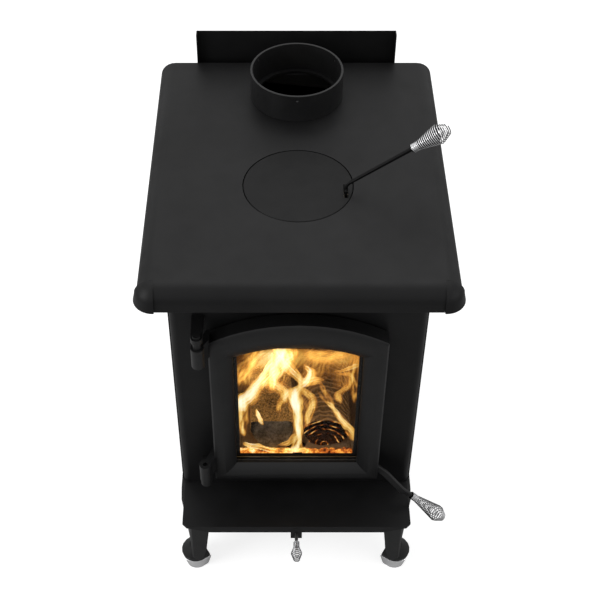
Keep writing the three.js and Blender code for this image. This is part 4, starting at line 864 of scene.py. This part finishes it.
def tongue(x, z, heat, seed, points, streaks=1.0):
    """How hot one tongue is at each place; points hold x, z and half width in millimetres."""
    line = smooth_line(points)
    a, run = line[:-1], np.diff(line, axis=0)
    length = np.hypot(run[:, 0], run[:, 1])
    gone = np.concatenate([[0], np.cumsum(length)])
    off_x, off_z = x[:, None] - a[:, 0], z[:, None] - a[:, 1]
    share = np.clip((off_x * run[:, 0] + off_z * run[:, 1]) / length ** 2, 0, 1)
    gap = np.hypot(off_x - share * run[:, 0], off_z - share * run[:, 1])
    near = gap.argmin(1)
    rows = np.arange(len(x))
    share, gap = share[rows, near], gap[rows, near]
    side = np.sign(run[near, 0] * off_z[rows, near] - run[near, 1] * off_x[rows, near])
    gone_here = gone[near] + share * length[near]
    width = np.maximum(a[near, 2] + run[near, 2] * share, 0.3) * FLAME_SPREAD
    across = side * gap / width
    fade = np.clip(gone_here / FADE_IN, 0, 1) * np.clip((gone[-1] - gone_here) / FADE_OUT, 0, 1)
    body = np.clip(1 - across ** 2, 0, 1)
    ridge = 1 - abs(2 * layered(across * width / STREAK_WIDTH + 40, gone_here / STREAK_LENGTH, seed) - 1)
    streaked = 1 - streaks + streaks * (0.1 + 1.6 * ridge ** 3)
    return heat * body ** 2.4 * streaked * (0.25 + 0.75 * fade)


def burning_gas():
    """Only adds light, by how hot it burns: dark red at its edges, nearly white inside."""
    made = bpy.data.materials.new("burning_gas")
    made.use_nodes = True
    nodes, links = made.node_tree.nodes, made.node_tree.links
    nodes.clear()
    heat = nodes.new("ShaderNodeAttribute")
    heat.attribute_name = "burning"
    colour = colour_ramp(made.node_tree, heat.outputs["Fac"], (
        (0.0, (0, 0, 0)), (0.14, (0.08, 0.028, 0.005)), (0.34, (0.33, 0.14, 0.022)),
        (0.56, (0.66, 0.39, 0.08)), (0.76, (0.88, 0.7, 0.3)), (1.0, (1.0, 0.97, 0.82))))
    glow = nodes.new("ShaderNodeEmission")
    glow.inputs["Strength"].default_value = 0.62
    links.new(colour, glow.inputs["Color"])
    both = nodes.new("ShaderNodeAddShader")
    links.new(glow.outputs[0], both.inputs[0])
    links.new(nodes.new("ShaderNodeBsdfTransparent").outputs[0], both.inputs[1])
    links.new(both.outputs[0], nodes.new("ShaderNodeOutputMaterial").inputs["Surface"])
    return made


gas = burning_gas()


def flame_body(name, depth, lean, left, right, foot, top, tongues):
    """A closed thin body over the part of a grid that burns."""
    xs, zs = np.arange(left, right + 0.1, FLAME_STEP), np.arange(foot, top + 0.1, FLAME_STEP)
    x, z = (m.ravel() for m in np.meshgrid(xs, zs))
    stray = WANDER * (layered(x / 26, z / 34, 5) - 0.5)
    warp_x = x + stray + FLICKER * (layered(x / 8, z / 11, 6) - 0.5)
    warp_z = z + WANDER * (layered(x / 26, z / 34, 8) - 0.5)
    heat = 1 - np.exp(-sum(tongue(warp_x, warp_z, *one) for one in tongues))
    inset = np.minimum.reduce([x - left, right - x, z - foot, top - z])
    heat = heat * np.clip(inset / MARGIN, 0, 1)

    # Squares whose corners all burn, apart from those that no inner corner would close.
    burns = (heat > FLAME_EDGE).reshape(len(zs), len(xs))
    rows, columns = np.nonzero(burns[:-1, :-1] & burns[1:, :-1] & burns[:-1, 1:] & burns[1:, 1:])
    corner = rows * len(xs) + columns
    faces = np.stack([corner, corner + 1, corner + len(xs) + 1, corner + len(xs)], 1)
    corners, shared = np.unique(faces, return_counts=True)
    faces = faces[np.isin(faces, corners[shared == 4]).any(1)]
    used, shared = np.unique(faces, return_counts=True)
    inner = used[shared == 4]

    # Front and back share their outer corners and part at the inner ones.
    index = np.full(len(x), -1)
    index[used] = np.arange(len(used))
    behind = index.copy()
    behind[inner] = len(used) + np.arange(len(inner))
    y = depth + lean * (z - foot) + RIPPLE * np.sin(x / 30 + z / 45)
    swell = FLAME_SWELL * heat
    near = [at(*p) for p in zip(x[used], (y - swell)[used], z[used])]
    far = [at(*p) for p in zip(x[inner], (y + swell)[inner], z[inner])]
    mesh = bpy.data.meshes.new(name)
    mesh.from_pydata(near + far, [], index[faces].tolist() + behind[faces[:, ::-1]].tolist())
    mesh.attributes.new("burning", "FLOAT", "POINT").data.foreach_set(
        "value", np.concatenate([heat[used], heat[inner]]).astype(np.float32))
    mesh.shade_smooth()
    mesh.materials.append(gas)
    made = linked(name, mesh)
    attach(made, "stove")


# Each tongue has its heat, its seed, the line that it follows and, if less than full, its streaks.
flame_body("front_flames", depth=38, lean=0.03, left=-108, right=110, foot=178, top=466, tongues=[
    (1.5, 1, [(-97, 300, 7), (-95, 328, 14), (-82, 343, 15), (-68, 367, 13),
              (-46, 394, 11), (-33, 423, 10), (-20, 464, 7)]),
    (2.2, 2, [(-97, 312, 6), (-95, 340, 10), (-84, 350, 8), (-70, 372, 6),
              (-56, 392, 5), (-44, 420, 4), (-42, 440, 3)]),
    (0.9, 21, [(-93, 232, 4), (-96, 270, 9), (-92, 310, 13)]),
    (1.3, 3, [(-34, 464, 12), (-22, 430, 16), (-10, 406, 12), (5, 380, 8), (4, 358, 4)]),
    (1.3, 22, [(-10, 466, 9), (-12, 436, 8), (-24, 410, 8), (-36, 384, 8), (-40, 360, 4)]),
    (0.9, 23, [(-52, 376, 10), (-34, 366, 14), (-20, 350, 12), (-18, 326, 5)]),
    (1.3, 4, [(4, 358, 4), (17, 379, 8), (22, 404, 9), (13, 421, 5)]),
    (2.4, 24, [(6, 362, 2), (18, 378, 2.5), (21, 402, 2.5), (14, 416, 1.5)]),
    (1.2, 5, [(10, 366, 6), (28, 384, 11), (46, 388, 4)]),
    (1.25, 6, [(1, 194, 10), (3, 222, 9), (4, 251, 9), (3, 288, 10),
               (0, 320, 14), (-5, 337, 13), (4, 361, 7)]),
    (1.2, 36, [(0, 200, 3), (6, 232, 4), (-1, 262, 4), (5, 296, 4)]),
    (3.4, 25, [(3, 290, 2), (1, 312, 6), (-3, 332, 6), (3, 354, 4)]),
    (0.95, 7, [(18, 262, 4), (24, 300, 9), (26, 328, 9), (15, 347, 8), (4, 359, 5)]),
    (0.7, 26, [(-32, 300, 4), (-26, 322, 8), (-12, 346, 8), (4, 360, 4)]),
    (1.7, 8, [(-56, 268, 2), (-65, 286, 5), (-74, 318, 1)]),
    (0.4, 9, [(106, 236, 6), (84, 270, 6), (66, 304, 5), (43, 339, 4), (31, 363, 2)]),
    (0.8, 27, [(104, 246, 1.5), (82, 276, 1.5), (66, 306, 1.2), (50, 330, 1)]),
    (0.7, 28, [(106, 226, 1.5), (88, 258, 1.8), (72, 288, 1.2), (62, 306, 1)]),
    (0.6, 29, [(108, 206, 2), (96, 240, 2), (80, 262, 1.6), (70, 280, 1)]),
    (0.5, 10, [(108, 214, 8), (92, 252, 9), (72, 290, 6), (58, 318, 3)]),
    (0.6, 11, [(74, 322, 4), (71, 350, 7), (86, 371, 6), (88, 397, 5), (66, 405, 2)]),
    (0.5, 12, [(66, 300, 3), (58, 330, 6), (50, 356, 7), (38, 384, 4)]),
    (0.5, 13, [(102, 330, 4), (98, 368, 9), (94, 410, 10), (100, 450, 8)]),
    (0.6, 14, [(-104, 384, 12), (-86, 402, 14), (-72, 430, 14), (-62, 464, 10)]),
    (0.6, 16, [(10, 448, 14), (44, 444, 18), (88, 452, 14)]),
    (0.7, 30, [(58, 408, 2), (80, 412, 2.5), (106, 424, 3)]),
    (2.2, 17, [(-94, 208, 4), (-57, 200, 5), (-31, 193, 5), (-10, 196, 5), (4, 206, 4)]),
    (0.9, 18, [(-34, 208, 3), (-12, 224, 6), (0, 248, 8)]),
    (0.9, 19, [(-26, 200, 7), (2, 200, 9), (28, 198, 6)]),
    (0.8, 20, [(-100, 192, 5), (-70, 190, 8), (-40, 184, 6)]),
])
flame_body("rear_flames", depth=132, lean=-0.05, left=-112, right=118, foot=236, top=372, tongues=[
    (0.6, 31, [(-104, 262, 20), (-92, 310, 26), (-70, 340, 30), (-40, 372, 30)]),
    (0.75, 32, [(-50, 258, 22), (-40, 300, 32), (-24, 340, 40), (-8, 372, 36)]),
    (0.4, 33, [(20, 262, 20), (34, 300, 30), (44, 338, 36), (60, 372, 34)], 0.6),
    (0.3, 34, [(88, 250, 16), (84, 300, 22), (92, 338, 26), (100, 372, 26)], 0.6),
    (0.3, 35, [(-96, 352, 26), (0, 356, 34), (110, 352, 26)], 0.5),
])
